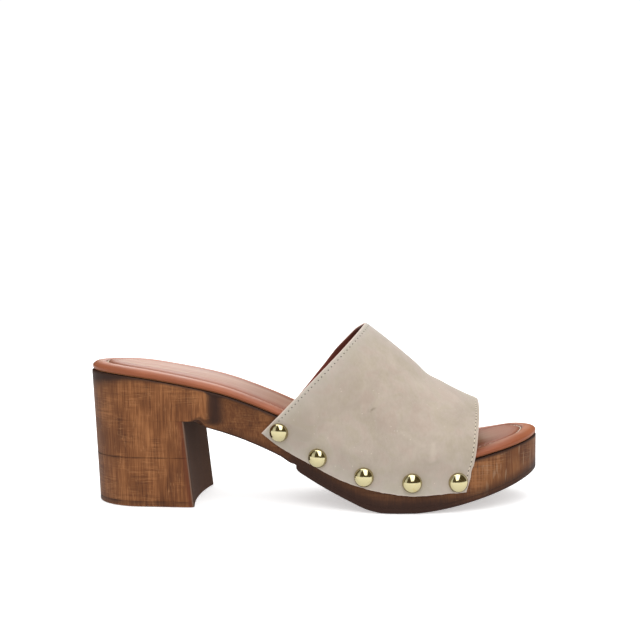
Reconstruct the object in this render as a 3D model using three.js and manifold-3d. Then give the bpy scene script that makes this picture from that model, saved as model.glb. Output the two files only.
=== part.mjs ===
// Heeled mule, right shoe: suede band nailed to a wooden block-heel platform.
// Millimetres. +X runs from heel to toe, +Z up, the lateral side is at -Y.
// Stations are shares of the length, from 0 at the heel's end to 1 at the toe's tip.
import * as THREE from 'three';
import { mergeVertices } from 'three/addons/utils/BufferGeometryUtils.js';
import Module from 'manifold-3d';

const wasm = await Module();
wasm.setup();

// Driving sizes
const CLEARANCE = 0.3;
const shoe = { length: 246, ballWidth: 82, heelRound: 0.13, toeRound: 0.26 };
const bed = { seatHeight: 72.2, ballHeight: 23.9, toeSpring: 11.5, edgeRadius: 0.7 };
const insole = { thickness: 4.1, rimWidth: 8.6, seatPadding: 1.4, toePadding: 1 };
const waist = { recess: 5.5, edgeRadius: 1.3, keelWidth: 9 };
const heel = { ledgeHeight: 46.2, layerHeight: 26.4, sideTaper: 0.3, rearTaper: 4.5 };
const breast = { top: 56, bottom: 61, skew: 1.1, hollow: 2.8, cornerRadius: 1.8 };
const heelTip = { thickness: 3, edgeRadius: 0.5 };
const outsole = { start: 0.466, thickness: 2.8, rearRise: 20.4, toeRise: 16.6, edgeRadius: 1 };
const upper = { wall: 2, crownHeight: 96.2, lift: 1, edgeDrop: 16.5, ridgeShift: 2.5 };
const collar = { top: 0.6187, bottom: 0.3992, topHeight: 96.3, bottomHeight: 40.6, medialShift: 4.5 };
const toeOpening = { top: 0.8642, bottom: 0.8309, sweepPower: 1.9 };
const stud = { radius: 5.1, height: 3.7, shankRadius: 0.9, shankLength: 8 };

// Section tables

// Half width as a share of the ball width, and how far the middle line lies to the medial side.
const outlineRows = [
  { at: 0.0, half: 0.328, middle: 0.0 },
  { at: 0.14, half: 0.343, middle: 0.002 },
  { at: 0.25, half: 0.358, middle: 0.001 },
  { at: 0.35, half: 0.345, middle: -0.016 },
  { at: 0.45, half: 0.351, middle: -0.033 },
  { at: 0.55, half: 0.407, middle: -0.03 },
  { at: 0.63, half: 0.467, middle: -0.013 },
  { at: 0.7, half: 0.499, middle: 0.008 },
  { at: 0.78, half: 0.5, middle: 0.026 },
  { at: 0.88, half: 0.5, middle: 0.043 },
  { at: 1.0, half: 0.5, middle: 0.058 },
];

// Height of the platform's upper face: pitch from ball to seat height, and toe spring past it.
const bedRows = [
  { at: 0.0, pitch: 1.0, spring: 0 },
  { at: 0.1, pitch: 0.953, spring: 0 },
  { at: 0.2, pitch: 0.873, spring: 0 },
  { at: 0.3, pitch: 0.764, spring: 0 },
  { at: 0.4, pitch: 0.59, spring: 0 },
  { at: 0.5, pitch: 0.362, spring: 0 },
  { at: 0.6, pitch: 0.133, spring: 0 },
  { at: 0.66, pitch: 0.045, spring: 0 },
  { at: 0.73, pitch: 0, spring: 0 },
  { at: 0.8, pitch: 0, spring: 0.09 },
  { at: 0.9, pitch: 0, spring: 0.5 },
  { at: 1.0, pitch: 0, spring: 1.0 },
];

// Underside of the waist, between the heel's ledge (1) and the outsole's back edge (0),
// at the side's lower edge and on the keel, with the recess of the side below the rim.
const waistRows = [
  { at: 0.0, edge: 1, keel: 1, recess: 0 },
  { at: 0.234, edge: 1, keel: 1, recess: 0, corner: true },
  { at: 0.262, edge: 1, keel: 0.85, recess: 0.06, corner: true },
  { at: 0.274, edge: 0.84, keel: 0.79, recess: 0.45, corner: true },
  { at: 0.288, edge: 0.77, keel: 0.72, recess: 0.86, corner: true },
  { at: 0.305, edge: 0.71, keel: 0.66, recess: 1, corner: true },
  { at: 0.348, edge: 0.555, keel: 0.51, recess: 1 },
  { at: 0.392, edge: 0.37, keel: 0.325, recess: 0.95 },
  { at: 0.435, edge: 0.165, keel: 0.135, recess: 0.8 },
  { at: 0.466, edge: 0, keel: 0, recess: 0.64, corner: true },
  { at: 0.55, edge: 0, keel: 0, recess: 0.3 },
  { at: 0.62, edge: 0, keel: 0, recess: 0.08 },
  { at: 0.7, edge: 0, keel: 0, recess: 0 },
  { at: 1.0, edge: 0, keel: 0, recess: 0 },
];

// Ground line of the outsole: shares of its rise at the back and of its rise at the toe.
const groundRows = [
  { at: 0.466, rear: 1.0, front: 0 },
  { at: 0.523, rear: 0.625, front: 0 },
  { at: 0.587, rear: 0.26, front: 0 },
  { at: 0.629, rear: 0.06, front: 0 },
  { at: 0.66, rear: 0, front: 0 },
  { at: 0.72, rear: 0, front: 0 },
  { at: 0.745, rear: 0, front: 0.03 },
  { at: 0.79, rear: 0, front: 0.13 },
  { at: 0.861, rear: 0, front: 0.36 },
  { at: 0.929, rear: 0, front: 0.64 },
  { at: 0.979, rear: 0, front: 0.89 },
  { at: 1.0, rear: 0, front: 1.0 },
];

// Recess down the waist's side: share of the recess at each share of the side's depth.
const sideRows = [
  { at: 1.0, recess: 1.0 },
  { at: 0.55, recess: 0.72 },
  { at: 0.16, recess: 0.38 },
];

// Insole section from its lower edge over the rolled rim and the groove to the pad.
const insoleRows = [
  { inset: 0.2, rise: 0 },
  { inset: 0.1, rise: 0.2 },
  { inset: 0.08, rise: 0.46 },
  { inset: 0.17, rise: 0.76 },
  { inset: 0.36, rise: 0.95 },
  { inset: 0.58, rise: 1.0 },
  { inset: 0.88, rise: 0.93 },
  { inset: 1.0, rise: 0.76 },
  { inset: 1.12, rise: 0.92 },
  { inset: 1.6, rise: 1.0 },
];

// Upper: crown height as a share of the height at the collar, and how far the lower edge
// comes down the wood, as a share of its deepest place.
const upperRows = [
  { at: 0.36, crown: 1.4, drop: 0.7 },
  { at: 0.4, crown: 1.345, drop: 0.8 },
  { at: 0.43, crown: 1.3, drop: 0.95 },
  { at: 0.47, crown: 1.238, drop: 1.02 },
  { at: 0.54, crown: 1.125, drop: 1.03 },
  { at: 0.618, crown: 1.0, drop: 0.94 },
  { at: 0.669, crown: 0.897, drop: 0.89 },
  { at: 0.725, crown: 0.776, drop: 0.865 },
  { at: 0.757, crown: 0.707, drop: 0.855 },
  { at: 0.79, crown: 0.656, drop: 0.855 },
  { at: 0.832, crown: 0.601, drop: 0.92 },
  { at: 0.865, crown: 0.56, drop: 0.96 },
  { at: 0.92, crown: 0.5, drop: 1.0 },
];

// Medial collar line: how far it lies before the lateral one, from its foot to the crown.
const collarRows = [
  { at: 0, shift: 1 },
  { at: 0.3, shift: 0.49 },
  { at: 0.555, shift: 0 },
  { at: 0.75, shift: -0.4 },
  { at: 0.92, shift: -0.4 },
  { at: 1, shift: 0 },
];

// Studs: place between the band's lower corners, and depth of the centre below the rim as a
// share of the edge's deepest place.
const studRows = [
  { along: 0.0852, drop: 0.465 },
  { along: 0.2775, drop: 0.67 },
  { along: 0.5045, drop: 0.575 },
  { along: 0.7361, drop: 0.445 },
  { along: 0.9585, drop: 0.54 },
];

// How finely the forms are divided
const mesh = {
  heelSteps: 7, toeSteps: 8, middleStep: 0.04, shortestStep: 0.008, cornerSteps: 3, breastSteps: 8,
  aroundBand: 30, alongBand: 20, wallSteps: 5, studSides: 14, domeSteps: 4, holeSides: 12,
};

// Side of the shoe as the sign of Y
const LATERAL = -1;
const MEDIAL = 1;

// Materials
const finish = (color, roughness, metalness = 0) =>
  new THREE.MeshStandardMaterial({ color, roughness, metalness });
const materials = {
  suede: finish(0xbcafa0, 0.95),
  tanLeather: finish(0xb8795c, 0.5),
  stainedWood: finish(0x87573a, 0.55),
  rubber: finish(0x4a3328, 0.8),
  brass: finish(0xd9c27a, 0.25, 1),
};

// Interpolation through the rows of a table, smooth and without overshoot
function smoothColumn(rows, column) {
  const at = rows.map((row) => row.at);
  const value = rows.map((row) => row[column]);
  const step = at.slice(1).map((place, i) => place - at[i]);
  const rate = step.map((width, i) => (value[i + 1] - value[i]) / width);
  const slope = value.map((_, i) => {
    if (i === 0 || i === value.length - 1) return rate[Math.min(i, rate.length - 1)];
    const [before, after] = [rate[i - 1], rate[i]];
    if (before * after <= 0) return 0;
    const [a, b] = [2 * step[i] + step[i - 1], step[i] + 2 * step[i - 1]];
    return (a + b) / (a / before + b / after);
  });
  return (share) => {
    const place = THREE.MathUtils.clamp(share, at[0], at[at.length - 1]);
    const i = Math.max(0, at.findIndex((edge) => edge >= place) - 1);
    const u = (place - at[i]) / step[i];
    const rise = value[i + 1] - value[i];
    const bend = (slope[i] * step[i] - rise) * (1 - u) - (slope[i + 1] * step[i] - rise) * u;
    return value[i] + rise * u + u * (1 - u) * bend;
  };
}

const halfShare = smoothColumn(outlineRows, 'half');
const middleShare = smoothColumn(outlineRows, 'middle');
const pitchShare = smoothColumn(bedRows, 'pitch');
const springShare = smoothColumn(bedRows, 'spring');
const edgeShare = smoothColumn(waistRows, 'edge');
const keelShare = smoothColumn(waistRows, 'keel');
const recessShare = smoothColumn(waistRows, 'recess');
const rearShare = smoothColumn(groundRows, 'rear');
const frontShare = smoothColumn(groundRows, 'front');
const crownShare = smoothColumn(upperRows, 'crown');
const dropShare = smoothColumn(upperRows, 'drop');
const collarShift = smoothColumn(collarRows, 'shift');

// Outline of the last seen from above
const HEEL_POWER = 1.98;
const TOE_POWER = 1.9;

function endRound(u, power) {
  const inside = THREE.MathUtils.clamp(u, 0, 1);
  return (1 - (1 - inside) ** power) ** (1 / power);
}

function halfWidth(share) {
  const ends = endRound(share / shoe.heelRound, HEEL_POWER)
    * endRound((1 - share) / shoe.toeRound, TOE_POWER);
  return shoe.ballWidth * halfShare(share) * ends;
}

const middle = (share) => shoe.ballWidth * middleShare(share);
const outlineY = (share, side) => middle(share) + side * halfWidth(share);

// Distance across the shoe that makes up a distance square to the slanting outline
function acrossOutline(share, side, distance) {
  const step = 1e-4;
  const slope = (outlineY(share + step, side) - outlineY(share - step, side)) / (2 * step * shoe.length);
  return distance * Math.hypot(1, slope);
}

// Heights along the shoe
const bedHeight = (share) => bed.ballHeight + pitchShare(share) * (bed.seatHeight - bed.ballHeight)
  + springShare(share) * bed.toeSpring;
const groundLine = (share) => outsole.rearRise * rearShare(share) + outsole.toeRise * frontShare(share);
const outsoleTop = (share) => groundLine(share) + outsole.thickness;

function woodUnderside(share, column) {
  if (share >= outsole.start) return outsoleTop(share) + CLEARANCE;
  const joint = outsoleTop(outsole.start) + CLEARANCE;
  return joint + column(share) * (heel.ledgeHeight - joint);
}

// How far the wood's side lies inside the outline, at a depth below the rim
function heelTaper(share, depth) {
  const rear = 1 - endRound(share / shoe.heelRound, HEEL_POWER);
  return (heel.sideTaper + (heel.rearTaper - heel.sideTaper) * rear) * depth / bed.seatHeight;
}

function sideInset(share, depthShare) {
  const depth = depthShare * (bedHeight(share) - woodUnderside(share, edgeShare));
  const rows = [{ at: 0, recess: 0 }, ...[...sideRows].reverse()];
  const upto = rows.findIndex((row) => row.at >= depthShare);
  const [from, to] = [rows[Math.max(0, upto - 1)], rows[Math.max(1, upto)]];
  const down = THREE.MathUtils.mapLinear(depthShare, from.at, to.at, from.recess, to.recess);
  return heelTaper(share, depth) + waist.recess * recessShare(share) * down;
}

// A point of the outline moved inwards, toward the spine of the sole
function outlinePoint(share, side, inset, spineFrom, spineTo) {
  const edge = new THREE.Vector2(share * shoe.length, outlineY(share, side));
  const inner = THREE.MathUtils.clamp(share, spineFrom, spineTo);
  const spine = new THREE.Vector2(inner * shoe.length, middle(inner));
  return edge.add(spine.sub(edge).setLength(inset));
}

// Stations along a piece, closer at its round ends and at the heel's breast
function stationsBetween(from, to) {
  const quarter = (steps, step) => 1 - Math.cos((Math.PI / 2) * (step / steps));
  const steps = (count) => Array.from({ length: count }, (_, i) => i);
  const toeEnd = 1 - shoe.toeRound;
  const heelArc = steps(mesh.heelSteps).map((i) => shoe.heelRound * quarter(mesh.heelSteps, i));
  const toeArc = steps(mesh.toeSteps).map((i) => 1 - shoe.toeRound * quarter(mesh.toeSteps, i));
  const middleCount = Math.round((toeEnd - shoe.heelRound) / mesh.middleStep);
  const straight = steps(middleCount + 1)
    .map((i) => THREE.MathUtils.lerp(shoe.heelRound, toeEnd, i / middleCount));
  const corner = waistRows.filter((row) => row.corner).map((row) => row.at);
  const named = [from, ...corner.filter((at) => at > from && at < to), to];
  const apart = (at) => named.every((place) => Math.abs(place - at) > mesh.shortestStep);
  const between = straight.filter(apart);
  const ends = [...heelArc, ...toeArc].filter((at) => at !== from && at !== to);
  return [...named, ...between, ...ends].filter((at) => at >= from && at <= to).sort((a, b) => a - b);
}

// Ring of points round a piece: heel to toe on the lateral side and back on the medial side
const FULL_SPINE = { from: 0.11, to: 0.845 };

function soleRing(stations, inset, height, spine = FULL_SPINE) {
  const point = (share, side) => {
    const flat = outlinePoint(share, side, inset(share), spine.from, spine.to);
    return new THREE.Vector3(flat.x, flat.y, height(flat.x / shoe.length));
  };
  const closedHeel = stations[0] === 0;
  const lateral = stations.map((share) => point(share, LATERAL));
  const medial = stations.slice(closedHeel ? 1 : 0, -1).reverse().map((share) => point(share, MEDIAL));
  return [...lateral, ...medial];
}

// Caps: across between facing points of a ring, or by triangulation of its outline
function bridgeCap(ring, stationCount) {
  const closedHeel = ring.length === 2 * (stationCount - 1);
  const facing = (i) => (closedHeel ? (ring.length - i) % ring.length : ring.length - 1 - i);
  const triangles = [];
  for (let i = 0; i < stationCount - 1; i += 1) {
    if (facing(i) !== i) triangles.push([i, i + 1, facing(i)]);
    if (facing(i + 1) !== i + 1) triangles.push([i + 1, facing(i + 1), facing(i)]);
  }
  return triangles;
}

const outlineCap = (ring) =>
  THREE.ShapeUtils.triangulateShape(ring.map((point) => new THREE.Vector2(point.x, point.y)), []);

// Closed solid through rings from bottom to top
function loft(rings, cap) {
  const count = rings[0].length;
  const index = [];
  for (let level = 0; level < rings.length - 1; level += 1) {
    for (let i = 0; i < count; i += 1) {
      const [a, b] = [level * count + i, level * count + ((i + 1) % count)];
      index.push(a, b, b + count, a, b + count, a + count);
    }
  }
  const last = (rings.length - 1) * count;
  cap(rings[0]).forEach(([a, b, c]) => index.push(a, c, b));
  cap(rings[rings.length - 1]).forEach(([a, b, c]) => index.push(last + a, last + b, last + c));
  return closedGeometry(rings.flat(), index);
}

function closedGeometry(points, index) {
  const geometry = new THREE.BufferGeometry().setFromPoints(points);
  geometry.setIndex(index);
  return mergeVertices(geometry);
}

// Cutting
function toSolid(geometry) {
  const plain = geometry.clone();
  plain.deleteAttribute('normal');
  plain.deleteAttribute('uv');
  const merged = mergeVertices(plain);
  const vertProperties = new Float32Array(merged.attributes.position.array);
  const triVerts = new Uint32Array(merged.index.array);
  return new wasm.Manifold(new wasm.Mesh({ numProp: 3, vertProperties, triVerts }));
}

function fromSolid(solid) {
  const { vertProperties, triVerts } = solid.getMesh();
  const geometry = new THREE.BufferGeometry();
  geometry.setAttribute('position', new THREE.BufferAttribute(vertProperties, 3));
  geometry.setIndex(new THREE.BufferAttribute(triVerts, 1));
  return geometry;
}

const cutBy = (geometry, tools) =>
  fromSolid(tools.reduce((solid, tool) => solid.subtract(toSolid(tool)), toSolid(geometry)));

// Wooden platform
function platformGeometry() {
  const stations = stationsBetween(0, 1);
  const underside = (share) => woodUnderside(share, edgeShare);
  const keel = (share) => woodUnderside(share, keelShare);
  const depthOf = (down) => (share) => THREE.MathUtils.lerp(bedHeight(share), underside(share), down);
  const edgeInset = (share) => sideInset(share, 1);
  const lift = waist.edgeRadius;
  const rings = [
    soleRing(stations, (share) => edgeInset(share) + waist.keelWidth, keel),
    soleRing(stations, (share) => edgeInset(share) + lift, underside),
    soleRing(stations, (share) => edgeInset(share) + lift * 0.3, (share) => underside(share) + lift * 0.3),
    soleRing(stations, edgeInset, (share) => underside(share) + lift),
    ...sideRows.slice(1).map((row) =>
      soleRing(stations, (share) => sideInset(share, row.at), depthOf(row.at))),
    soleRing(stations, () => 0, (share) => bedHeight(share) - bed.edgeRadius),
    soleRing(stations, () => bed.edgeRadius, bedHeight),
  ];
  return loft(rings, (ring) => bridgeCap(ring, stations.length));
}

// Heel block between two heights
function breastPlace(height) {
  return THREE.MathUtils.mapLinear(height, heel.ledgeHeight, 0, breast.top, breast.bottom);
}

function heelRing(height, inset = 0) {
  const front = (side) => breastPlace(height) - inset + (side === MEDIAL ? breast.skew : 0);
  const depth = (share) => bedHeight(share) - height;
  const corner = breast.cornerRadius;
  const stations = (side) => {
    const sideEnd = (front(side) - corner) / shoe.length;
    const straight = [0.5, 1].map((u) => THREE.MathUtils.lerp(shoe.heelRound, sideEnd, u));
    return [...stationsBetween(0, shoe.heelRound), ...straight];
  };
  const sidePoint = (share, side) =>
    outlinePoint(share, side, heelTaper(share, depth(share)) + inset, FULL_SPINE.from, FULL_SPINE.to);
  const turn = Array.from({ length: mesh.cornerSteps },
    (_, i) => ((i + 1) / mesh.cornerSteps) * (Math.PI / 2));
  const half = (side) => {
    const sides = stations(side).map((share) => sidePoint(share, side));
    const end = sides[sides.length - 1];
    const round = turn.map((angle) => new THREE.Vector2(
      end.x + corner * Math.sin(angle), end.y - side * corner * (1 - Math.cos(angle))));
    return [...sides, ...round];
  };
  const [lateral, medial] = [half(LATERAL), half(MEDIAL)];
  const [from, to] = [lateral[lateral.length - 1], medial[medial.length - 1]];
  const hollow = Array.from({ length: mesh.breastSteps - 1 }, (_, i) => {
    const u = (i + 1) / mesh.breastSteps;
    const point = from.clone().lerp(to, u);
    point.x -= breast.hollow * 4 * u * (1 - u);
    return point;
  });
  return [...lateral, ...hollow, ...medial.slice(1).reverse()]
    .map((point) => new THREE.Vector3(point.x, point.y, height));
}

const heelLayerGeometry = (from, to) =>
  loft([from, (from + to) / 2, to].map((height) => heelRing(height)), outlineCap);

function heelTipGeometry() {
  const radius = heelTip.edgeRadius;
  const rings = [[0, radius], [radius * 0.3, radius * 0.3], [radius, 0], [heelTip.thickness, 0]]
    .map(([height, inset]) => heelRing(height, inset));
  return loft(rings, outlineCap);
}

// Forefoot outsole
function outsoleGeometry() {
  const stations = stationsBetween(outsole.start, 1);
  const spine = { from: outsole.start + 0.04, to: FULL_SPINE.to };
  const side = (share) => sideInset(share, 1);
  const radius = outsole.edgeRadius;
  const ring = (inset, height) => soleRing(stations, inset, height, spine);
  const rings = [
    ring((share) => side(share) + radius, groundLine),
    ring((share) => side(share) + radius * 0.3, (share) => groundLine(share) + radius * 0.3),
    ring(side, (share) => groundLine(share) + radius),
    ring(side, outsoleTop),
  ];
  return loft(rings, (points) => bridgeCap(points, stations.length));
}

// Padded insole
function insoleGeometry() {
  const stations = stationsBetween(0, 1);
  const thickness = (share) => insole.thickness + insole.seatPadding * pitchShare(share) ** 4
    + insole.toePadding * THREE.MathUtils.smoothstep(share, 0.87, 0.97);
  const rings = insoleRows.map((row) => soleRing(
    stations,
    () => row.inset * insole.rimWidth,
    (share) => bedHeight(share) + CLEARANCE + row.rise * thickness(share),
  ));
  return loft(rings, (ring) => bridgeCap(ring, stations.length));
}

// Outer face of the upper: around runs from -1 at the lateral edge over 0 on the crown to 1
const BAND = { wallShare: 0.2, kneeShare: 0.2, widthPower: 2.25, heightPower: 2.0 };

function bandPoint(share, around) {
  const side = Math.sign(around) || MEDIAL;
  const away = Math.abs(around);
  const foot = 1 - BAND.wallShare;
  const skin = acrossOutline(share, side, CLEARANCE + upper.wall);
  const rim = bedHeight(share);
  const base = rim + upper.lift;
  if (away >= foot) {
    const down = (away - foot) / BAND.wallShare;
    const drop = upper.edgeDrop * dropShare(share);
    const below = Math.max(0, (down - BAND.kneeShare) / (1 - BAND.kneeShare));
    const above = Math.max(0, 1 - down / BAND.kneeShare);
    const knee = rim - bed.edgeRadius;
    const height = knee + above * (base - knee) - below * (knee - rim + drop);
    const tuck = sideInset(share, Math.min(1, drop / (rim - woodUnderside(share, edgeShare)))) * below;
    return new THREE.Vector3(share * shoe.length, outlineY(share, side) + side * (skin - tuck), height);
  }
  const angle = (1 - away / foot) * (Math.PI / 2);
  const across = Math.cos(angle) ** (2 / BAND.widthPower);
  const up = Math.sin(angle) ** (2 / BAND.heightPower);
  const ridge = middle(share) + upper.ridgeShift * up;
  const reach = outlineY(share, side) + side * skin - middle(share);
  const height = base + (upper.crownHeight * crownShare(share) - base) * up;
  return new THREE.Vector3(share * shoe.length, ridge + reach * across, height);
}

// Places where a line along the band leaves through the collar and the toe opening
function collarShare(around) {
  const rise = collar.topHeight - collar.bottomHeight;
  const slope = rise / (shoe.length * (collar.top - collar.bottom));
  const medial = around > 0 ? collar.medialShift : 0;
  const behind = (share) => {
    const point = bandPoint(share, around);
    const up = point.z - collar.bottomHeight;
    return up > slope * (point.x - medial * collarShift(up / rise) - shoe.length * collar.bottom);
  };
  return halve(collar.bottom - 0.04, toeOpening.top, behind);
}

function toeShare(around) {
  const ahead = (share) => {
    const point = bandPoint(share, around);
    const foot = bandPoint(share, 1).z;
    const crown = bandPoint(share, 0).z;
    const down = 1 - (point.z - foot) / (crown - foot);
    return share > toeOpening.top - (toeOpening.top - toeOpening.bottom) * down ** toeOpening.sweepPower;
  };
  return halve(toeOpening.bottom - 0.02, toeOpening.top + 0.05, (share) => !ahead(share));
}

function halve(from, to, keepsRight) {
  let [low, high] = [from, to];
  for (let i = 0; i < 40; i += 1) {
    const centre = (low + high) / 2;
    if (keepsRight(centre)) low = centre;
    else high = centre;
  }
  return (low + high) / 2;
}

function bandNormal(share, around) {
  const [dShare, dAround] = [1e-4, 1e-3];
  const edge = THREE.MathUtils.clamp(around, -1 + dAround, 1 - dAround);
  const along = bandPoint(share + dShare, edge).sub(bandPoint(share - dShare, edge));
  const across = bandPoint(share, edge + dAround).sub(bandPoint(share, edge - dAround));
  return along.cross(across).normalize();
}

// Steps round the band: evenly over the arch, and down each wall to its lower edge
function bandSteps() {
  const foot = 1 - BAND.wallShare;
  const arch = Array.from({ length: mesh.aroundBand + 1 },
    (_, i) => foot * (2 * i / mesh.aroundBand - 1));
  const wall = Array.from({ length: mesh.wallSteps },
    (_, i) => foot + BAND.wallShare * ((i + 1) / mesh.wallSteps));
  return [...wall.map((at) => -at).reverse(), ...arch, ...wall];
}

function bandGeometry() {
  const rows = bandSteps();
  const columns = Array.from({ length: mesh.alongBand + 1 }, (_, i) => i / mesh.alongBand);
  const outer = [];
  const inner = [];
  rows.forEach((around) => {
    const [from, to] = [collarShare(around), toeShare(around)];
    columns.forEach((u) => {
      const share = THREE.MathUtils.lerp(from, to, u);
      const point = bandPoint(share, around);
      outer.push(point);
      inner.push(point.clone().addScaledVector(bandNormal(share, around), -upper.wall));
    });
  });
  const wide = columns.length;
  const skin = outer.length;
  const index = [];
  const quad = (a, b, c, d) => index.push(a, b, c, a, c, d);
  for (let row = 0; row < rows.length - 1; row += 1) {
    for (let column = 0; column < wide - 1; column += 1) {
      const a = row * wide + column;
      quad(a, a + 1, a + 1 + wide, a + wide);
      quad(skin + a, skin + a + wide, skin + a + 1 + wide, skin + a + 1);
    }
    const [start, end] = [row * wide, row * wide + wide - 1];
    quad(start, start + wide, skin + start + wide, skin + start);
    quad(end, skin + end, skin + end + wide, end + wide);
  }
  const lastRow = (rows.length - 1) * wide;
  for (let column = 0; column < wide - 1; column += 1) {
    const far = lastRow + column;
    quad(column, skin + column, skin + column + 1, column + 1);
    quad(far, far + 1, skin + far + 1, skin + far);
  }
  return closedGeometry([...outer, ...inner], index);
}

// Studs
function studPlace(row, side) {
  const share = THREE.MathUtils.lerp(collar.bottom, toeOpening.bottom, row.along);
  const drop = upper.edgeDrop * dropShare(share);
  const below = (row.drop * upper.edgeDrop - bed.edgeRadius) / (drop - bed.edgeRadius);
  const down = THREE.MathUtils.lerp(BAND.kneeShare, 1, below);
  const around = side * (1 - BAND.wallShare + BAND.wallShare * down);
  return { point: bandPoint(share, around), normal: bandNormal(share, around) };
}

function studGeometry() {
  const dome = Array.from({ length: mesh.domeSteps + 1 }, (_, i) => {
    const angle = (i / mesh.domeSteps) * (Math.PI / 2);
    return new THREE.Vector2(stud.radius * Math.cos(angle), CLEARANCE + stud.height * Math.sin(angle));
  });
  dome[dome.length - 1].x = 0;
  const profile = [
    new THREE.Vector2(0, -stud.shankLength),
    new THREE.Vector2(stud.shankRadius, -stud.shankLength + stud.shankRadius),
    new THREE.Vector2(stud.shankRadius, CLEARANCE),
    ...dome,
  ];
  return new THREE.LatheGeometry(profile, mesh.studSides);
}

function holeGeometry(place) {
  const radius = stud.shankRadius + CLEARANCE;
  const [outside, inside] = [stud.height, stud.shankLength + CLEARANCE];
  const hole = new THREE.CylinderGeometry(radius, radius, outside + inside, mesh.holeSides);
  hole.translate(0, (outside - inside) / 2, 0);
  return stand(hole, place);
}

// Turns a piece made along +Y to stand out along the band's normal
function stand(geometry, place) {
  const turn = new THREE.Quaternion().setFromUnitVectors(new THREE.Vector3(0, 1, 0), place.normal);
  return geometry.applyQuaternion(turn).translate(...place.point.toArray());
}

// Assembly
const studs = [[LATERAL, 'lateral'], [MEDIAL, 'medial']].flatMap(([side, name]) =>
  studRows.map((row, i) => ({ name: `stud_${name}_${i + 1}`, place: studPlace(row, side) })));
const holes = studs.map(({ place }) => holeGeometry(place));

const mule = new THREE.Group();

function addPiece(name, geometry, material) {
  const piece = new THREE.Mesh(geometry, material);
  piece.name = name;
  mule.add(piece);
}

addPiece('wood_platform', cutBy(platformGeometry(), holes), materials.stainedWood);
addPiece('heel_block_upper', heelLayerGeometry(heel.layerHeight, heel.ledgeHeight), materials.stainedWood);
addPiece('heel_block_lower', heelLayerGeometry(heelTip.thickness, heel.layerHeight), materials.stainedWood);
addPiece('heel_tip', heelTipGeometry(), materials.rubber);
addPiece('forefoot_outsole', outsoleGeometry(), materials.rubber);
addPiece('insole', insoleGeometry(), materials.tanLeather);
addPiece('upper_band', cutBy(bandGeometry(), holes), materials.suede);
studs.forEach(({ name, place }) => addPiece(name, stand(studGeometry(), place), materials.brass));

// The origin lies on the floor, under the middle of the shoe's box
const box = new THREE.Box3().setFromObject(mule);
const centre = box.getCenter(new THREE.Vector3());
mule.position.set(-centre.x, -centre.y, -box.min.z);

export default mule;
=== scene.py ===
"""Heeled mule, right shoe: the finished surfaces round its packed solids.

Sizes are metres. +X runs from heel to toe, +Z up, and the lateral side is at -Y. A share is a
place along the shoe, from 0 at the end of the heel to 1 at the tip of the toe.
"""
import math
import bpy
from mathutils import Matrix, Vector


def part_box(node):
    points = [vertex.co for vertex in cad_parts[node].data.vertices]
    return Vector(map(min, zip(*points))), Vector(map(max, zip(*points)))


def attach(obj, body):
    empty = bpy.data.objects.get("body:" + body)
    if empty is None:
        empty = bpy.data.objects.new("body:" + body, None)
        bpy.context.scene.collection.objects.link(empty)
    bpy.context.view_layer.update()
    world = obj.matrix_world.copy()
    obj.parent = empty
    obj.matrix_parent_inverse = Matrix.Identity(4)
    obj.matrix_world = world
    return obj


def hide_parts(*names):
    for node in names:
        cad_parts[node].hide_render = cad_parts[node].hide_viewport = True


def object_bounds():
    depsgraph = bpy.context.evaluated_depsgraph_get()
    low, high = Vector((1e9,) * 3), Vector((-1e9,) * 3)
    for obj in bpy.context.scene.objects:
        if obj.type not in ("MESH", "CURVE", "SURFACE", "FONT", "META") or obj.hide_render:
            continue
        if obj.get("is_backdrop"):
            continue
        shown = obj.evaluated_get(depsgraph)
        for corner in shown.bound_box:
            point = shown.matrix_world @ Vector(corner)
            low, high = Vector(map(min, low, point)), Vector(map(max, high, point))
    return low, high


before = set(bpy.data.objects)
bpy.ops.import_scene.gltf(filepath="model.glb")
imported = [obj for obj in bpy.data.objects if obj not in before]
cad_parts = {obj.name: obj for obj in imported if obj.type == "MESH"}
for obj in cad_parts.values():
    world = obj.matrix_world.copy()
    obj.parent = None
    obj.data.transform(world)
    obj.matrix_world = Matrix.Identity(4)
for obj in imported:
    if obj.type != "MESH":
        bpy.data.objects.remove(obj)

from types import SimpleNamespace

import bmesh
import bpy
import numpy as np
from mathutils import Matrix, Vector

bl_info = {
    "name": "Heeled mule",
    "version": (1, 0, 0),
    "blender": (4, 5, 0),
    "location": "3D View > Sidebar > Mule",
    "description": "Makes the surfaces of a wooden-soled mule from its main sizes",
    "category": "Add Mesh",
}

MM = 0.001
LATERAL, MEDIAL = -1.0, 1.0

PLATFORM_LOW, PLATFORM_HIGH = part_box("wood_platform")
BAND_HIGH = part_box("upper_band")[1]
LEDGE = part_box("heel_block_upper")[1].z
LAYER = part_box("heel_block_lower")[1].z
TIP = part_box("heel_tip")[1].z

# Sizes that stay as they are when the main ones change
CLEARANCE = 0.3 * MM
BED = SimpleNamespace(edge_radius=0.7 * MM)
WAIST = SimpleNamespace(recess=5.5 * MM, edge_radius=1.3 * MM, keel_width=9 * MM)
HEEL = SimpleNamespace(side_taper=0.3 * MM, rear_taper=4.5 * MM, chamfer=0.22 * MM)
BREAST = SimpleNamespace(top=56 * MM, bottom=61 * MM, skew=1.1 * MM, hollow=2.8 * MM, corner=1.8 * MM)
OUTSOLE = SimpleNamespace(start=0.466, thickness=2.8 * MM, rear_rise=20.4 * MM, toe_rise=16.6 * MM,
                          edge_radius=1 * MM, bevel=2.2 * MM, bevel_length=3.4 * MM)
COLLAR = SimpleNamespace(top=0.6187, bottom=0.3992, top_height=96.3 * MM, bottom_height=40.6 * MM,
                         medial_shift=4.5 * MM)
TOE_OPENING = SimpleNamespace(top=0.8642, bottom=0.8309, sweep_power=1.9)
UPPER = SimpleNamespace(lift=1 * MM, ridge_shift=2.5 * MM, edge_round=0.5 * MM)
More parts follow.
